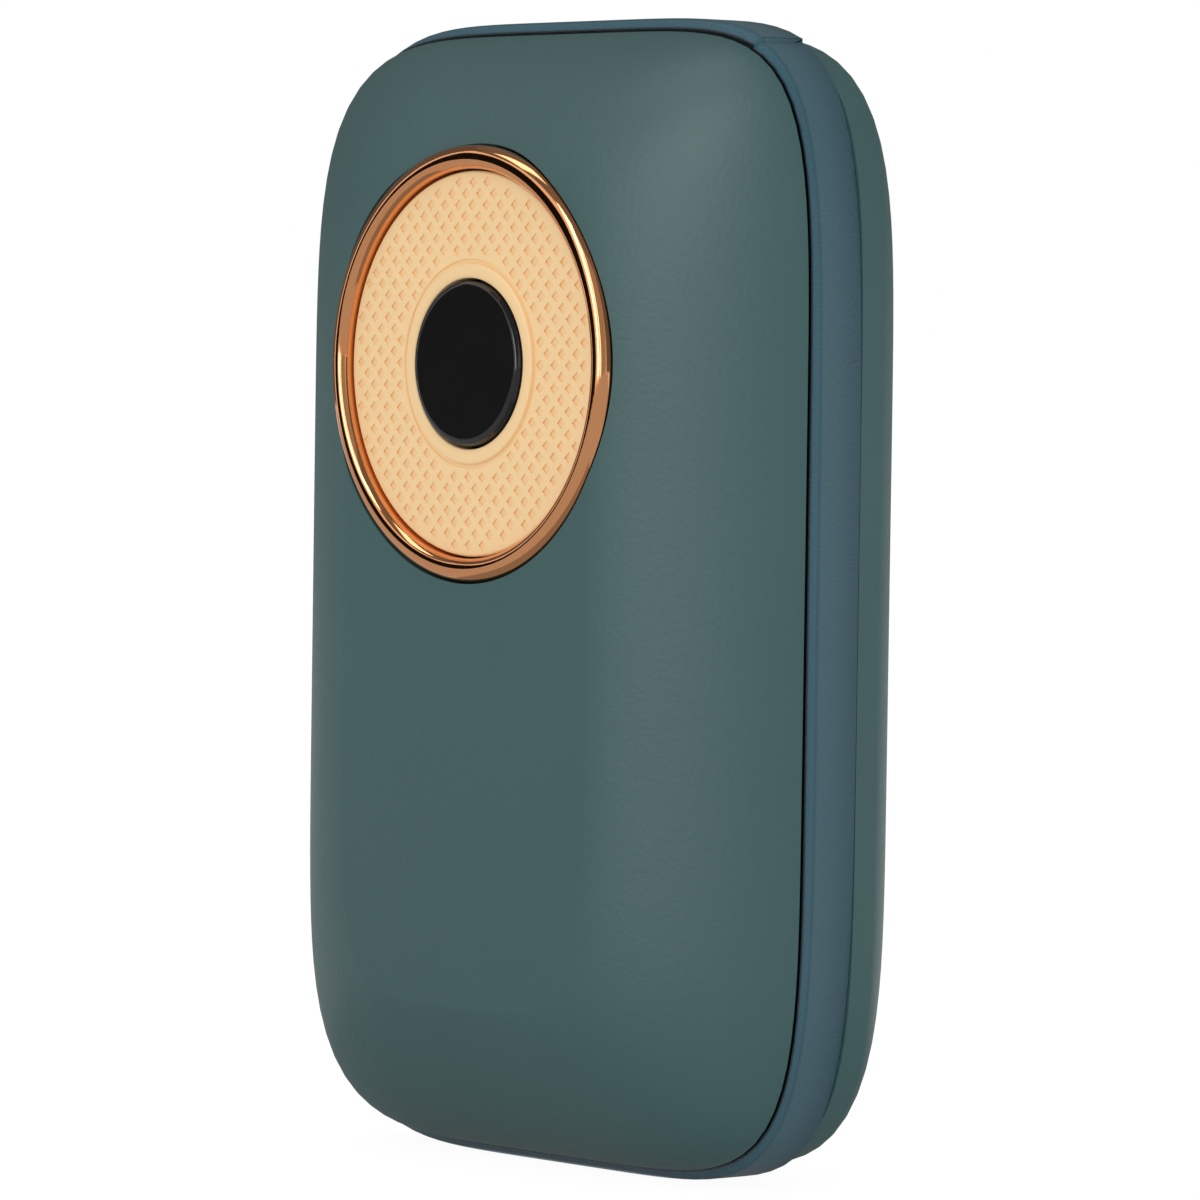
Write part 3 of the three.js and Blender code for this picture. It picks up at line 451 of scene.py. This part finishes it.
def port_tool():
    """A bar with round ends, the size of the socket's mouth."""
    bpy.ops.object.select_all(action="DESELECT")
    bpy.ops.mesh.primitive_cube_add(size=1, location=(0, depth_middle, top))
    tool = bpy.context.object
    tool.scale = (port_across, port_deep, port_reach)
    bpy.ops.object.transform_apply(location=True, rotation=True, scale=True)
    bpy.ops.object.mode_set(mode="EDIT")
    pick_edges(tool, lambda edge: edge.calc_length() > port_reach / 2)
    bpy.ops.mesh.bevel(offset=port_deep / 2.001, segments=12, profile=0.5, affect="EDGES")
    bpy.ops.object.mode_set(mode="OBJECT")
    return tool


def over_top(reach):
    """A block over the top half of the band, out to a reach on either side."""
    return block((-reach, -past_sides, mid_height), (reach, past_sides, past_top))


def plate_end(edge):
    """Whether an edge is one of the sharp outer edges at the plate's two ends."""
    ends = [vert.co for vert in edge.verts]
    outer = all(end.z > top - rim_inset - plate_thickness for end in ends)
    at_end = all(abs(abs(end.x) - plate_half) < near for end in ends)
    return outer and at_end and edge.calc_face_angle(0) > sharp_bend


plate = band("end_plate", plate_proud, *deck)
soften_edge(plate, -frame_ridge, ridge_round)
soften_edge(plate, frame_back, back_round)
work(plate, over_top(plate_half), "INTERSECT")
bpy.ops.object.mode_set(mode="EDIT")
pick_edges(plate, plate_end)
bpy.ops.mesh.bevel(offset=plate_end_round, segments=3, profile=0.5, affect="EDGES")
bpy.ops.object.mode_set(mode="OBJECT")
work(plate, port_tool())
for x in peg_places:
    bpy.ops.object.select_all(action="DESELECT")
    bpy.ops.mesh.primitive_cylinder_add(
        vertices=32, radius=peg_radius, depth=peg_length,
        location=(x, depth_middle, top - plate_thickness / 2 - peg_length / 2),
    )
    bpy.ops.object.transform_apply(location=True, rotation=True, scale=True)
    work(plate, bpy.context.object, "UNION")
notch = work(over_top(plate_half - plate_tuck), slab(*deck, -half_height, half_height))
work(middle_band, notch)
work(middle_band, port_tool())
settle(middle_band)
end_plate = settle(plate)
# The plate wears the band's paint, painted shade by depth included.
wear(end_plate, band_paint)
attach(end_plate, "body")
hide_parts("top_end_plate")


# The covers: two moulded pillow shells, front and back, in satin dark-green paint. Each is crowned from its
# rim to a flat middle. The front one has a lip that drops into the band, and the back one's rim runs on
# straight and is glued to the band's back face.
half_depth = 0.0159
front_seam = 0.00042
back_seam = 0.00004
rim_face = frame_face + front_seam
back_reach = rim_face - frame_back - back_seam
cover_wall = 0.0018
shoulder_across = 0.0175
shoulder_high = 0.0147
crown_power = 1.41
crown_steps = 26
lip_gap = 0.0003
lip_wall = 0.0012
lip_drop = 0.0012
lip_outer = [size - lip_gap for size in band_inner]
lip_inner = [size - lip_wall for size in lip_outer]
lip_end = frame_face - lip_drop


def pillow(name, inset, front, reach=0.0):
    """A pillow's front half: the outline is pulled forward in steps, each drawn in more than the last."""
    across, high = half_width - inset, half_height - rim_inset - inset
    plate = lay_outline(name, across, high, reach - rim_face, cover_curve, cover_reach)
    bpy.ops.object.mode_set(mode="EDIT")
    bpy.ops.mesh.select_all(action="SELECT")
    if reach:
        bpy.ops.mesh.extrude_region_move(TRANSFORM_OT_translate={"value": (0, -reach, 0)})
    last = (across, high, -rim_face)
    for step in range(1, crown_steps + 1):
        angle = math.radians(90) * step / crown_steps
        drawn = 1 - max(0, math.cos(angle)) ** crown_power
        y = -rim_face - (front - rim_face) * math.sin(angle) ** crown_power
        now = (across - shoulder_across * drawn, high - shoulder_high * drawn, y)
        bpy.ops.mesh.extrude_region_move(TRANSFORM_OT_translate={"value": (0, y - last[2], 0)})
        bpy.ops.transform.resize(
            value=(now[0] / last[0], 1, now[1] / last[1]), center_override=(0, y + depth_middle, mid_height)
        )
        last = now
    close_rim(plate, reach - rim_face)
    bpy.ops.object.mode_set(mode="OBJECT")
    return settle(plate)


def cover_shell(name, reach):
    """A pillow with its inside taken out. Its rim can run on straight, as a wall."""
    hollow = pillow("hollow", cover_wall, half_depth - cover_wall, reach + 2 * overrun)
    work(hollow, slab(*lip_inner, -half_depth, overrun), "INTERSECT")
    return work(pillow(name, 0, half_depth, reach), hollow)


back = cover_shell("back_shell", back_reach)
work(back, slab(*band_inner, -lip_end, 0))
bpy.ops.object.mode_set(mode="EDIT")
bpy.ops.mesh.select_all(action="SELECT")
bpy.ops.transform.resize(value=(1, -1, 1), center_override=(0, depth_middle, mid_height))
bpy.ops.object.mode_set(mode="OBJECT")
back_shell = settle(back)
cover_paint = finish(
    "cover_paint", shade(58, 90, 91), shade(62, 95, 95), (0.42, 0.5), mottle=40, grain=1800, depth=0.06,
    Specular_IOR_Level=0.4,
)
wear(back_shell, cover_paint)
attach(back_shell, "body")
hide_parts("back_cover")


# The front cover also has the round seat of the control: a recess with a cup behind it, a hole for the
# button, and three posts on the cup's back for the display board's screws.
control_z = 0.0758
seat_radius = 0.02059
seat_depth = 0.0023
seat_wall = 0.0018
cup_wall = 0.0016
seat_floor = half_depth - seat_depth
seat_back = seat_floor - seat_wall
button_hole = 0.0105
post_ring = 0.0130
post_turns = (30, 150, 270)
post_radius = 0.002
post_height = 0.0007
post_end = seat_back - post_height
screw_hole = 0.0009
screw_depth = 0.0014
front = cover_shell("front_shell", 0)
lip = work(slab(*lip_outer, -rim_face - overrun, -lip_end), slab(*lip_inner, -half_depth, 0))
work(front, lip, "UNION")
cup = rod(seat_radius + cup_wall, -half_depth, -seat_back, 0, control_z, 160)
work(cup, pillow("inside", cover_wall / 2, half_depth - cover_wall / 2), "INTERSECT")
work(front, cup, "UNION")
post_places = [
    (post_ring * math.cos(math.radians(turn)), control_z + post_ring * math.sin(math.radians(turn)))
    for turn in post_turns
]
for x, z in post_places:
    work(front, rod(post_radius, -seat_floor, -post_end, x, z, 48), "UNION")
    work(front, rod(screw_hole, -post_end - screw_depth, overrun - post_end, x, z, 24))
work(front, rod(seat_radius, -half_depth - 2 * overrun, -seat_floor, 0, control_z, 192))
work(front, rod(button_hole, -half_depth, 2 * overrun - seat_back, 0, control_z))
front_shell = settle(front)
wear(front_shell, cover_paint)
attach(front_shell, "body")
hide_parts("front_cover")


# The bead ring round the control: turned or moulded, then plated in mirror-bright rose gold. Its crest lies
# nearer its inner edge.
ring_outer = 0.02044
ring_crest = 0.01915
ring_inner = 0.0182
ring_proud = 0.00055
bead_height = 0.00105
glue_line = 0.0001
ring_back = seat_floor + glue_line
bead_smooth_angle = 40
off_axis = 0.0001


def pick_points(piece, wanted):
    """Selects the points for which a test holds, and nothing else, in edit mode."""
    bpy.ops.mesh.select_all(action="DESELECT")
    mesh = bmesh.from_edit_mesh(piece.data)
    for point in mesh.verts:
        point.select_set(wanted(point.co))
    mesh.select_flush_mode()
    bmesh.update_edit_mesh(piece.data)


bpy.ops.object.select_all(action="DESELECT")
bpy.ops.mesh.primitive_circle_add(vertices=96, radius=1, fill_type="NOTHING")
bead = bpy.context.object
bead.name = "bead_ring"
bpy.ops.object.mode_set(mode="EDIT")
for side, reach in ((-1, ring_crest - ring_inner), (1, ring_outer - ring_crest)):
    pick_points(bead, lambda spot: spot.x * side > off_axis)
    bpy.ops.transform.resize(value=(reach, 1, 1), center_override=(0, 0, 0))
bpy.ops.mesh.select_all(action="DESELECT")
mesh = bmesh.from_edit_mesh(bead.data)
bmesh.ops.delete(mesh, geom=[vert for vert in mesh.verts if vert.co.y > off_axis], context="VERTS")
bmesh.update_edit_mesh(bead.data)
bpy.ops.mesh.select_all(action="SELECT")
bpy.ops.transform.resize(value=(1, bead_height, 1), center_override=(0, 0, 0))
shoulder = depth_middle - half_depth - ring_proud + bead_height
bpy.ops.transform.translate(value=(ring_crest, shoulder, control_z))
pick_points(bead, lambda spot: abs(spot.y - shoulder) < weld)
bpy.ops.mesh.select_mode(type="VERT")
bpy.ops.mesh.extrude_region_move(
    TRANSFORM_OT_translate={"value": (0, depth_middle - ring_back - shoulder, 0)}
)
bpy.ops.mesh.edge_face_add()
bpy.ops.mesh.select_all(action="SELECT")
bpy.ops.mesh.spin(
    steps=192, dupli=False, angle=math.radians(360), center=(0, 0, control_z), axis=(0, 1, 0),
    use_auto_merge=True,
)
bpy.ops.object.mode_set(mode="OBJECT")
bead_ring = settle(bead, bead_smooth_angle)
rose_gold = finish(
    "rose_gold", shade(230, 158, 108), shade(236, 168, 118), (0.05, 0.08), mottle=90, grain=500, depth=0.01,
    Metallic=1,
)
wear(bead_ring, rose_gold)
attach(bead_ring, "body")
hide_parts("trim_ring")


# The grip disc: moulded in satin cream plastic and glued in the ring. It is slightly domed, its face is set
# with staggered rows of small wedge-shaped dimples, and a smooth rounded collar stands round the button.
disc_radius = 0.01805
disc_sunk = 0.00062
disc_rise = 0.0002
disc_edge = half_depth - disc_sunk
disc_top = disc_edge + disc_rise
disc_back = ring_back
dome_power = 1.5
dome_steps = 14
edge_round = 0.0003
edge_steps = 4
collar_inner = 0.0080
collar_outer = 0.0094
collar_rise = 0.0003
collar_power = 0.6
collar_steps = 12
groove_outer = 0.0098
groove_depth = 0.00016
groove_side = 0.00005
dimple_across = 0.00207
dimple_rise = 0.00106
dimple_half = (0.00062, 0.00052)
dimple_depth = 0.00016
dimple_least = 0.00001
dimple_proud = 0.0004
weave_inner = 0.0102
weave_outer = 0.0173
weave_columns = 9
disc_smooth_angle = 20


def turned(name, profile, sides):
    """A round piece about the control's axis: a circle whose edge is carried through radii and depths."""
    first = profile[0]
    bpy.ops.object.select_all(action="DESELECT")
    bpy.ops.mesh.primitive_circle_add(
        vertices=sides, radius=first[0], fill_type="NOTHING", rotation=(math.radians(90), 0, 0),
        location=(0, first[1] + depth_middle, control_z),
    )
    piece = bpy.context.object
    piece.name = name
    bpy.ops.object.transform_apply(location=True, rotation=True, scale=True)
    bpy.ops.object.mode_set(mode="EDIT")
    bpy.ops.mesh.select_all(action="SELECT")
    for last, now in zip(profile, profile[1:]):
        bpy.ops.mesh.extrude_region_move(TRANSFORM_OT_translate={"value": (0, now[1] - last[1], 0)})
        if now[0] != last[0]:
            share = now[0] / last[0]
            bpy.ops.transform.resize(
                value=(share, 1, share), center_override=(0, now[1] + depth_middle, control_z)
            )
    bpy.ops.object.mode_set(mode="OBJECT")
    return piece


def dome(radius):
    """Depth of the disc's face at a radius, in front of the middle plane."""
    share = (radius - groove_outer) / (disc_radius - groove_outer)
    return disc_top - (disc_top - disc_edge) * max(0, share) ** dome_power


profile = [(collar_inner, -disc_back), (collar_inner, -disc_top)]
for step in range(1, collar_steps):
    angle = math.radians(180) * step / collar_steps
    radius = collar_inner + (collar_outer - collar_inner) * (1 - math.cos(angle)) / 2
    profile.append((radius, -disc_top - collar_rise * math.sin(angle) ** collar_power))
profile += [(collar_outer, -disc_top), (collar_outer + groove_side, groove_depth - disc_top)]
profile += [(groove_outer - groove_side, groove_depth - disc_top), (groove_outer, -disc_top)]
face_radius = disc_radius - edge_round
for step in range(1, dome_steps + 1):
    radius = groove_outer + (face_radius - groove_outer) * step / dome_steps
    profile.append((radius, -dome(radius)))
for step in range(1, edge_steps + 1):
    angle = math.radians(90) * step / edge_steps
    profile.append((
        face_radius + edge_round * math.sin(angle),
        edge_round * (1 - math.cos(angle)) - dome(face_radius),
    ))
profile += [(disc_radius, -disc_back), (collar_inner, -disc_back)]
disc = settle(turned("weave_disc", profile, 160))

bpy.ops.object.select_all(action="DESELECT")
bpy.ops.mesh.primitive_cylinder_add(vertices=4, radius=1, depth=2, rotation=(math.radians(90), 0, 0))
dimple = bpy.context.object
bpy.ops.object.transform_apply(location=True, rotation=True, scale=True)
# The pits get a darker cream of the same plastic: painted shade in the dimples.
dimple_painted_shade = finish(
    "dimple_painted_shade", shade(246, 203, 147), shade(250, 210, 155), (0.45, 0.55),
    mottle=120, grain=2600, depth=0.04,
)
wear(dimple, dimple_painted_shade)
for vert in dimple.data.vertices:
    fall = dimple_least + dimple_depth * (1 - vert.co.x) / 2 if vert.co.y > 0 else -dimple_proud
    vert.co = (vert.co.x * dimple_half[0], fall, vert.co.z * dimple_half[1])
dimples = []
rows = math.ceil(disc_radius / dimple_rise)
for row in range(-rows, rows + 1):
    for column in range(-weave_columns, weave_columns + 1):
        x = (column + 0.5 * (row % 2)) * dimple_across
        z = row * dimple_rise
        if weave_inner < math.hypot(x, z) < weave_outer:
            twin = dimple.copy()
            twin.data = dimple.data.copy()
            bpy.context.collection.objects.link(twin)
            twin.location = (x, depth_middle, control_z + z)
            dimples.append(twin)
bpy.data.objects.remove(dimple)
bpy.ops.object.select_all(action="DESELECT")
for twin in dimples:
    twin.select_set(True)
bpy.context.view_layer.objects.active = dimples[0]
bpy.ops.object.transform_apply(location=True, rotation=True, scale=True)
bpy.ops.object.join()
tool = bpy.context.object
for vert in tool.data.vertices:
    vert.co.y -= dome(math.hypot(vert.co.x, vert.co.z - control_z))
cream_plastic = finish(
    "cream_plastic", shade(248, 209, 153), shade(252, 216, 161), (0.42, 0.52),
    mottle=120, grain=2600, depth=0.04,
)
wear(disc, cream_plastic)
work(disc, tool)
weave_disc = settle(disc, disc_smooth_angle)
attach(weave_disc, "body")
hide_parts("grip_disc")


# The push button: one polished black moulding with a bevelled edge. A flange behind the disc keeps it in,
# and its hollow back leaves room for the light display. It slides straight back.
button_radius = 0.00775
button_proud = 0.00025
button_face = half_depth + button_proud
button_core = 0.0005
bevel_across = 0.00075
button_flat = button_radius - bevel_across
bevel_reach = 0.00055
bevel_fall = 0.000125
bevel_power = 2.2
bevel_steps = 8
corner_reach = 0.00005
corner_fall = 0.00042
button_drop = 0.0005
flange_radius = 0.0096
flange_gap = 0.0002
flange_thickness = 0.0009
flange_front = disc_back - flange_gap
flange_back = flange_front - flange_thickness
hollow_radius = 0.0069
face_thickness = 0.00145
hollow_face = button_face - face_thickness
button_smooth_angle = 25
profile = [(button_core, -button_face), (button_flat, -button_face)]
for step in range(1, bevel_steps + 1):
    share = step / bevel_steps
    profile.append((button_flat + bevel_reach * share, bevel_fall * share ** bevel_power - button_face))
profile += [(button_radius - corner_reach, corner_fall - button_face)]
profile += [(button_radius, button_drop - button_face), (button_radius, -flange_front)]
profile += [(flange_radius, -flange_front), (flange_radius, -flange_back)]
profile += [(hollow_radius, -flange_back), (hollow_radius, -hollow_face), (button_core, -hollow_face)]
button = turned("push_button", profile, 160)
bpy.ops.object.mode_set(mode="EDIT")
close_rim(button, -button_face)
close_rim(button, -hollow_face)
bpy.ops.object.mode_set(mode="OBJECT")
push_button = settle(button, button_smooth_angle)
black_gloss = finish(
    "black_gloss", shade(22, 22, 23), shade(26, 26, 27), (0.06, 0.1), mottle=200, grain=900, depth=0.01,
)
wear(push_button, black_gloss)
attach(push_button, "button")
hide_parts("power_button")


# The parts inside keep their CAD shapes: chassis, boards, cells, strips, plates, films, foam, leads and
# screws. Each takes the finish that its record slot asks for, as moulded, rolled, plated or printed.
inner_looks = {
    "black_plastic": ((24, 24, 25), (34, 34, 36), (0.42, 0.6), dict(mottle=150, grain=1500, depth=0.16)),
    "grey_plastic": ((130, 133, 136), (142, 145, 148), (0.4, 0.55), dict(mottle=110, grain=1700, depth=0.14)),
    "board_green": (
        (20, 84, 50), (32, 100, 62), (0.2, 0.34),
        dict(mottle=240, grain=700, depth=0.08, Coat_Weight=0.3),
    ),
    "steel": (
        (184, 187, 190), (204, 206, 209), (0.2, 0.38),
        dict(mottle=220, grain=1400, depth=0.06, stretch=(1, 1, 6), Metallic=1),
    ),
    "nickel": (
        (194, 190, 178), (208, 204, 192), (0.24, 0.4),
        dict(mottle=120, grain=1600, depth=0.06, stretch=(6, 1, 1), Metallic=1),
    ),
    "aluminium": (
        (196, 198, 201), (210, 212, 214), (0.3, 0.46),
        dict(mottle=80, grain=1300, depth=0.08, stretch=(1, 1, 0.08), Metallic=1),
    ),
    "amber_film": (
        (180, 100, 24), (198, 118, 36), (0.12, 0.26),
        dict(mottle=140, grain=500, depth=0.04, Coat_Weight=0.5),
    ),
    "white_foam": ((222, 220, 212), (234, 232, 226), (0.85, 0.95), dict(mottle=900, grain=4200, depth=0.7)),
    "cell_wrap": ((42, 104, 172), (52, 118, 188), (0.24, 0.36), dict(mottle=70, grain=600, depth=0.06)),
    "red_wire": ((176, 36, 30), (190, 46, 38), (0.4, 0.5), dict(mottle=160, grain=1200, depth=0.06)),
    "black_wire": ((22, 22, 22), (31, 31, 32), (0.4, 0.5), dict(mottle=160, grain=1200, depth=0.06)),
    "white_wire": ((222, 220, 212), (232, 230, 222), (0.4, 0.5), dict(mottle=160, grain=1200, depth=0.06)),
}
inner_finishes = {
    name: finish(name, shade(*deep), shade(*bright), rough, **rest)
    for name, (deep, bright, rough, rest) in inner_looks.items()
}
for part in frame["record"]["subparts"]:
    if part["material_slot"] in inner_finishes:
        for slot in frame["nodes"][part["node"]].material_slots:
            slot.material = inner_finishes[part["material_slot"]]
for slot in frame["nodes"]["store_capacitor"].material_slots:
    slot.material = cream_plastic


# The studio: a white floor that runs out of sight and keeps a faint shadow, white all round, and cards and
# lamps outside the view that draw the dark and light lines on the plated ring.
floor_size = 80
floor_tone = 0.85
floor_glow = 1.06
glow_share = 0.9
lighting_level = 0.86


def seen_plainly(nodes, links):
    """A mask that is 1 for what the camera, a reflection or a clear material sees, and 0 for what lights."""
    path = nodes.new("ShaderNodeLightPath")
    seen = nodes.new("ShaderNodeMath")
    seen.operation = "MAXIMUM"
    shown = nodes.new("ShaderNodeMath")
    shown.operation = "MAXIMUM"
    links.new(path.outputs["Is Camera Ray"], seen.inputs[0])
    links.new(path.outputs["Is Glossy Ray"], seen.inputs[1])
    links.new(seen.outputs[0], shown.inputs[0])
    links.new(path.outputs["Is Transmission Ray"], shown.inputs[1])
    return shown.outputs[0]


bpy.ops.object.select_all(action="DESELECT")
bpy.ops.mesh.primitive_plane_add(size=floor_size)
floor = bpy.context.object
floor.name = "floor"
floor_white = bpy.data.materials.new("floor_white")
floor_white.use_nodes = True
nodes, links = floor_white.node_tree.nodes, floor_white.node_tree.links
nodes.remove(nodes["Principled BSDF"])
lit = nodes.new("ShaderNodeBsdfDiffuse")
lit.inputs["Color"].default_value = (floor_tone, floor_tone, floor_tone, 1)
glow = nodes.new("ShaderNodeEmission")
glow.inputs["Strength"].default_value = floor_glow
part_glow = nodes.new("ShaderNodeMath")
part_glow.operation = "MULTIPLY"
part_glow.inputs[1].default_value = glow_share
blend = nodes.new("ShaderNodeMixShader")
links.new(seen_plainly(nodes, links), part_glow.inputs[0])
links.new(part_glow.outputs[0], blend.inputs["Fac"])
links.new(lit.outputs["BSDF"], blend.inputs[1])
links.new(glow.outputs["Emission"], blend.inputs[2])
links.new(blend.outputs["Shader"], nodes["Material Output"].inputs["Surface"])
wear(floor, floor_white)

world = bpy.data.worlds.new("studio")
bpy.context.scene.world = world
world.use_nodes = True
nodes, links = world.node_tree.nodes, world.node_tree.links
brightness = nodes.new("ShaderNodeMapRange")
brightness.inputs["To Min"].default_value = lighting_level
brightness.inputs["To Max"].default_value = 1
links.new(seen_plainly(nodes, links), brightness.inputs["Value"])
links.new(brightness.outputs["Result"], nodes["Background"].inputs["Strength"])
nodes["Background"].inputs["Color"].default_value = (1, 1, 1, 1)


def around(degrees, distance, height):
    """A place round the object: 0 is in front of it, and 90 to the right for who faces its front."""
    turn = math.radians(degrees)
    return Vector((math.sin(turn) * distance, -math.cos(turn) * distance, height))


def face_object(thing, degrees, distance, height):
    """Stands a card or lamp round the object, facing its middle."""
    thing.location = around(degrees, distance, height)
    aim = Vector((0, 0, mid_height)) - thing.location
    thing.rotation_euler = aim.to_track_quat("-Z", "Y").to_euler()


def hang_card(name, degrees, distance, height, size, tone):
    """A card that reflections see, but neither the camera nor soft light."""
    bpy.ops.object.select_all(action="DESELECT")
    bpy.ops.mesh.primitive_plane_add(size=1)
    card = bpy.context.object
    card.name = name
    card.scale = (size[0], size[1], 1)
    face_object(card, degrees, distance, height)
    paper = bpy.data.materials.new(name)
    paper.use_nodes = True
    nodes, links = paper.node_tree.nodes, paper.node_tree.links
    nodes.remove(nodes["Principled BSDF"])
    light = nodes.new("ShaderNodeEmission")
    light.inputs["Color"].default_value = (tone, tone, tone, 1)
    links.new(light.outputs["Emission"], nodes["Material Output"].inputs["Surface"])
    wear(card, paper)
    card.visible_camera = False
    card.visible_diffuse = False
    card.visible_shadow = False


def hang_lamp(name, degrees, distance, height, size, power):
    """A softbox that faces the object."""
    bpy.ops.object.light_add(type="AREA")
    lamp = bpy.context.object
    lamp.name = name
    lamp.data.shape = "RECTANGLE"
    lamp.data.size = size[0]
    lamp.data.size_y = size[1]
    lamp.data.energy = power
    face_object(lamp, degrees, distance, height)


hang_card("dark_front_card", -40, 1.2, 0.12, (0.84, 1.1), 0.01)
hang_card("left_grey_card", -97, 1.3, 0.3, (1.5, 2.0), 0.14)
hang_card("back_grey_card", 180, 1.3, 0.3, (3.2, 2.0), 0.2)
hang_card("right_dark_card", 98, 1.3, 0.4, (1.3, 1.8), 0.16)
hang_card("right_grey_card", 44, 1.3, 0.3, (1.1, 1.8), 0.4)
hang_card("ceiling_card", 180, 0.2, 1.1, (3.2, 3.2), 0.2)
hang_card("high_left_card", -50, 0.53, 1.0, (0.3, 0.6), 2.6)
hang_card("floor_card", 0, 0.0001, 0.0003, (0.15, 0.15), 0.3)
hang_card("wide_floor_card", 0, 0.0001, 0.0002, (2.4, 2.4), 0.55)
hang_card("white_front_card", 0, 1.4, 0.8, (0.4, 2.6), 5)
hang_lamp("front_softbox", 22, 1.5, 0.4, (0.4, 1.6), 4.2)
hang_lamp("right_softbox", 84, 1.5, 0.3, (0.3, 1.6), 1.5)
bpy.context.scene.view_settings.view_transform = "Standard"
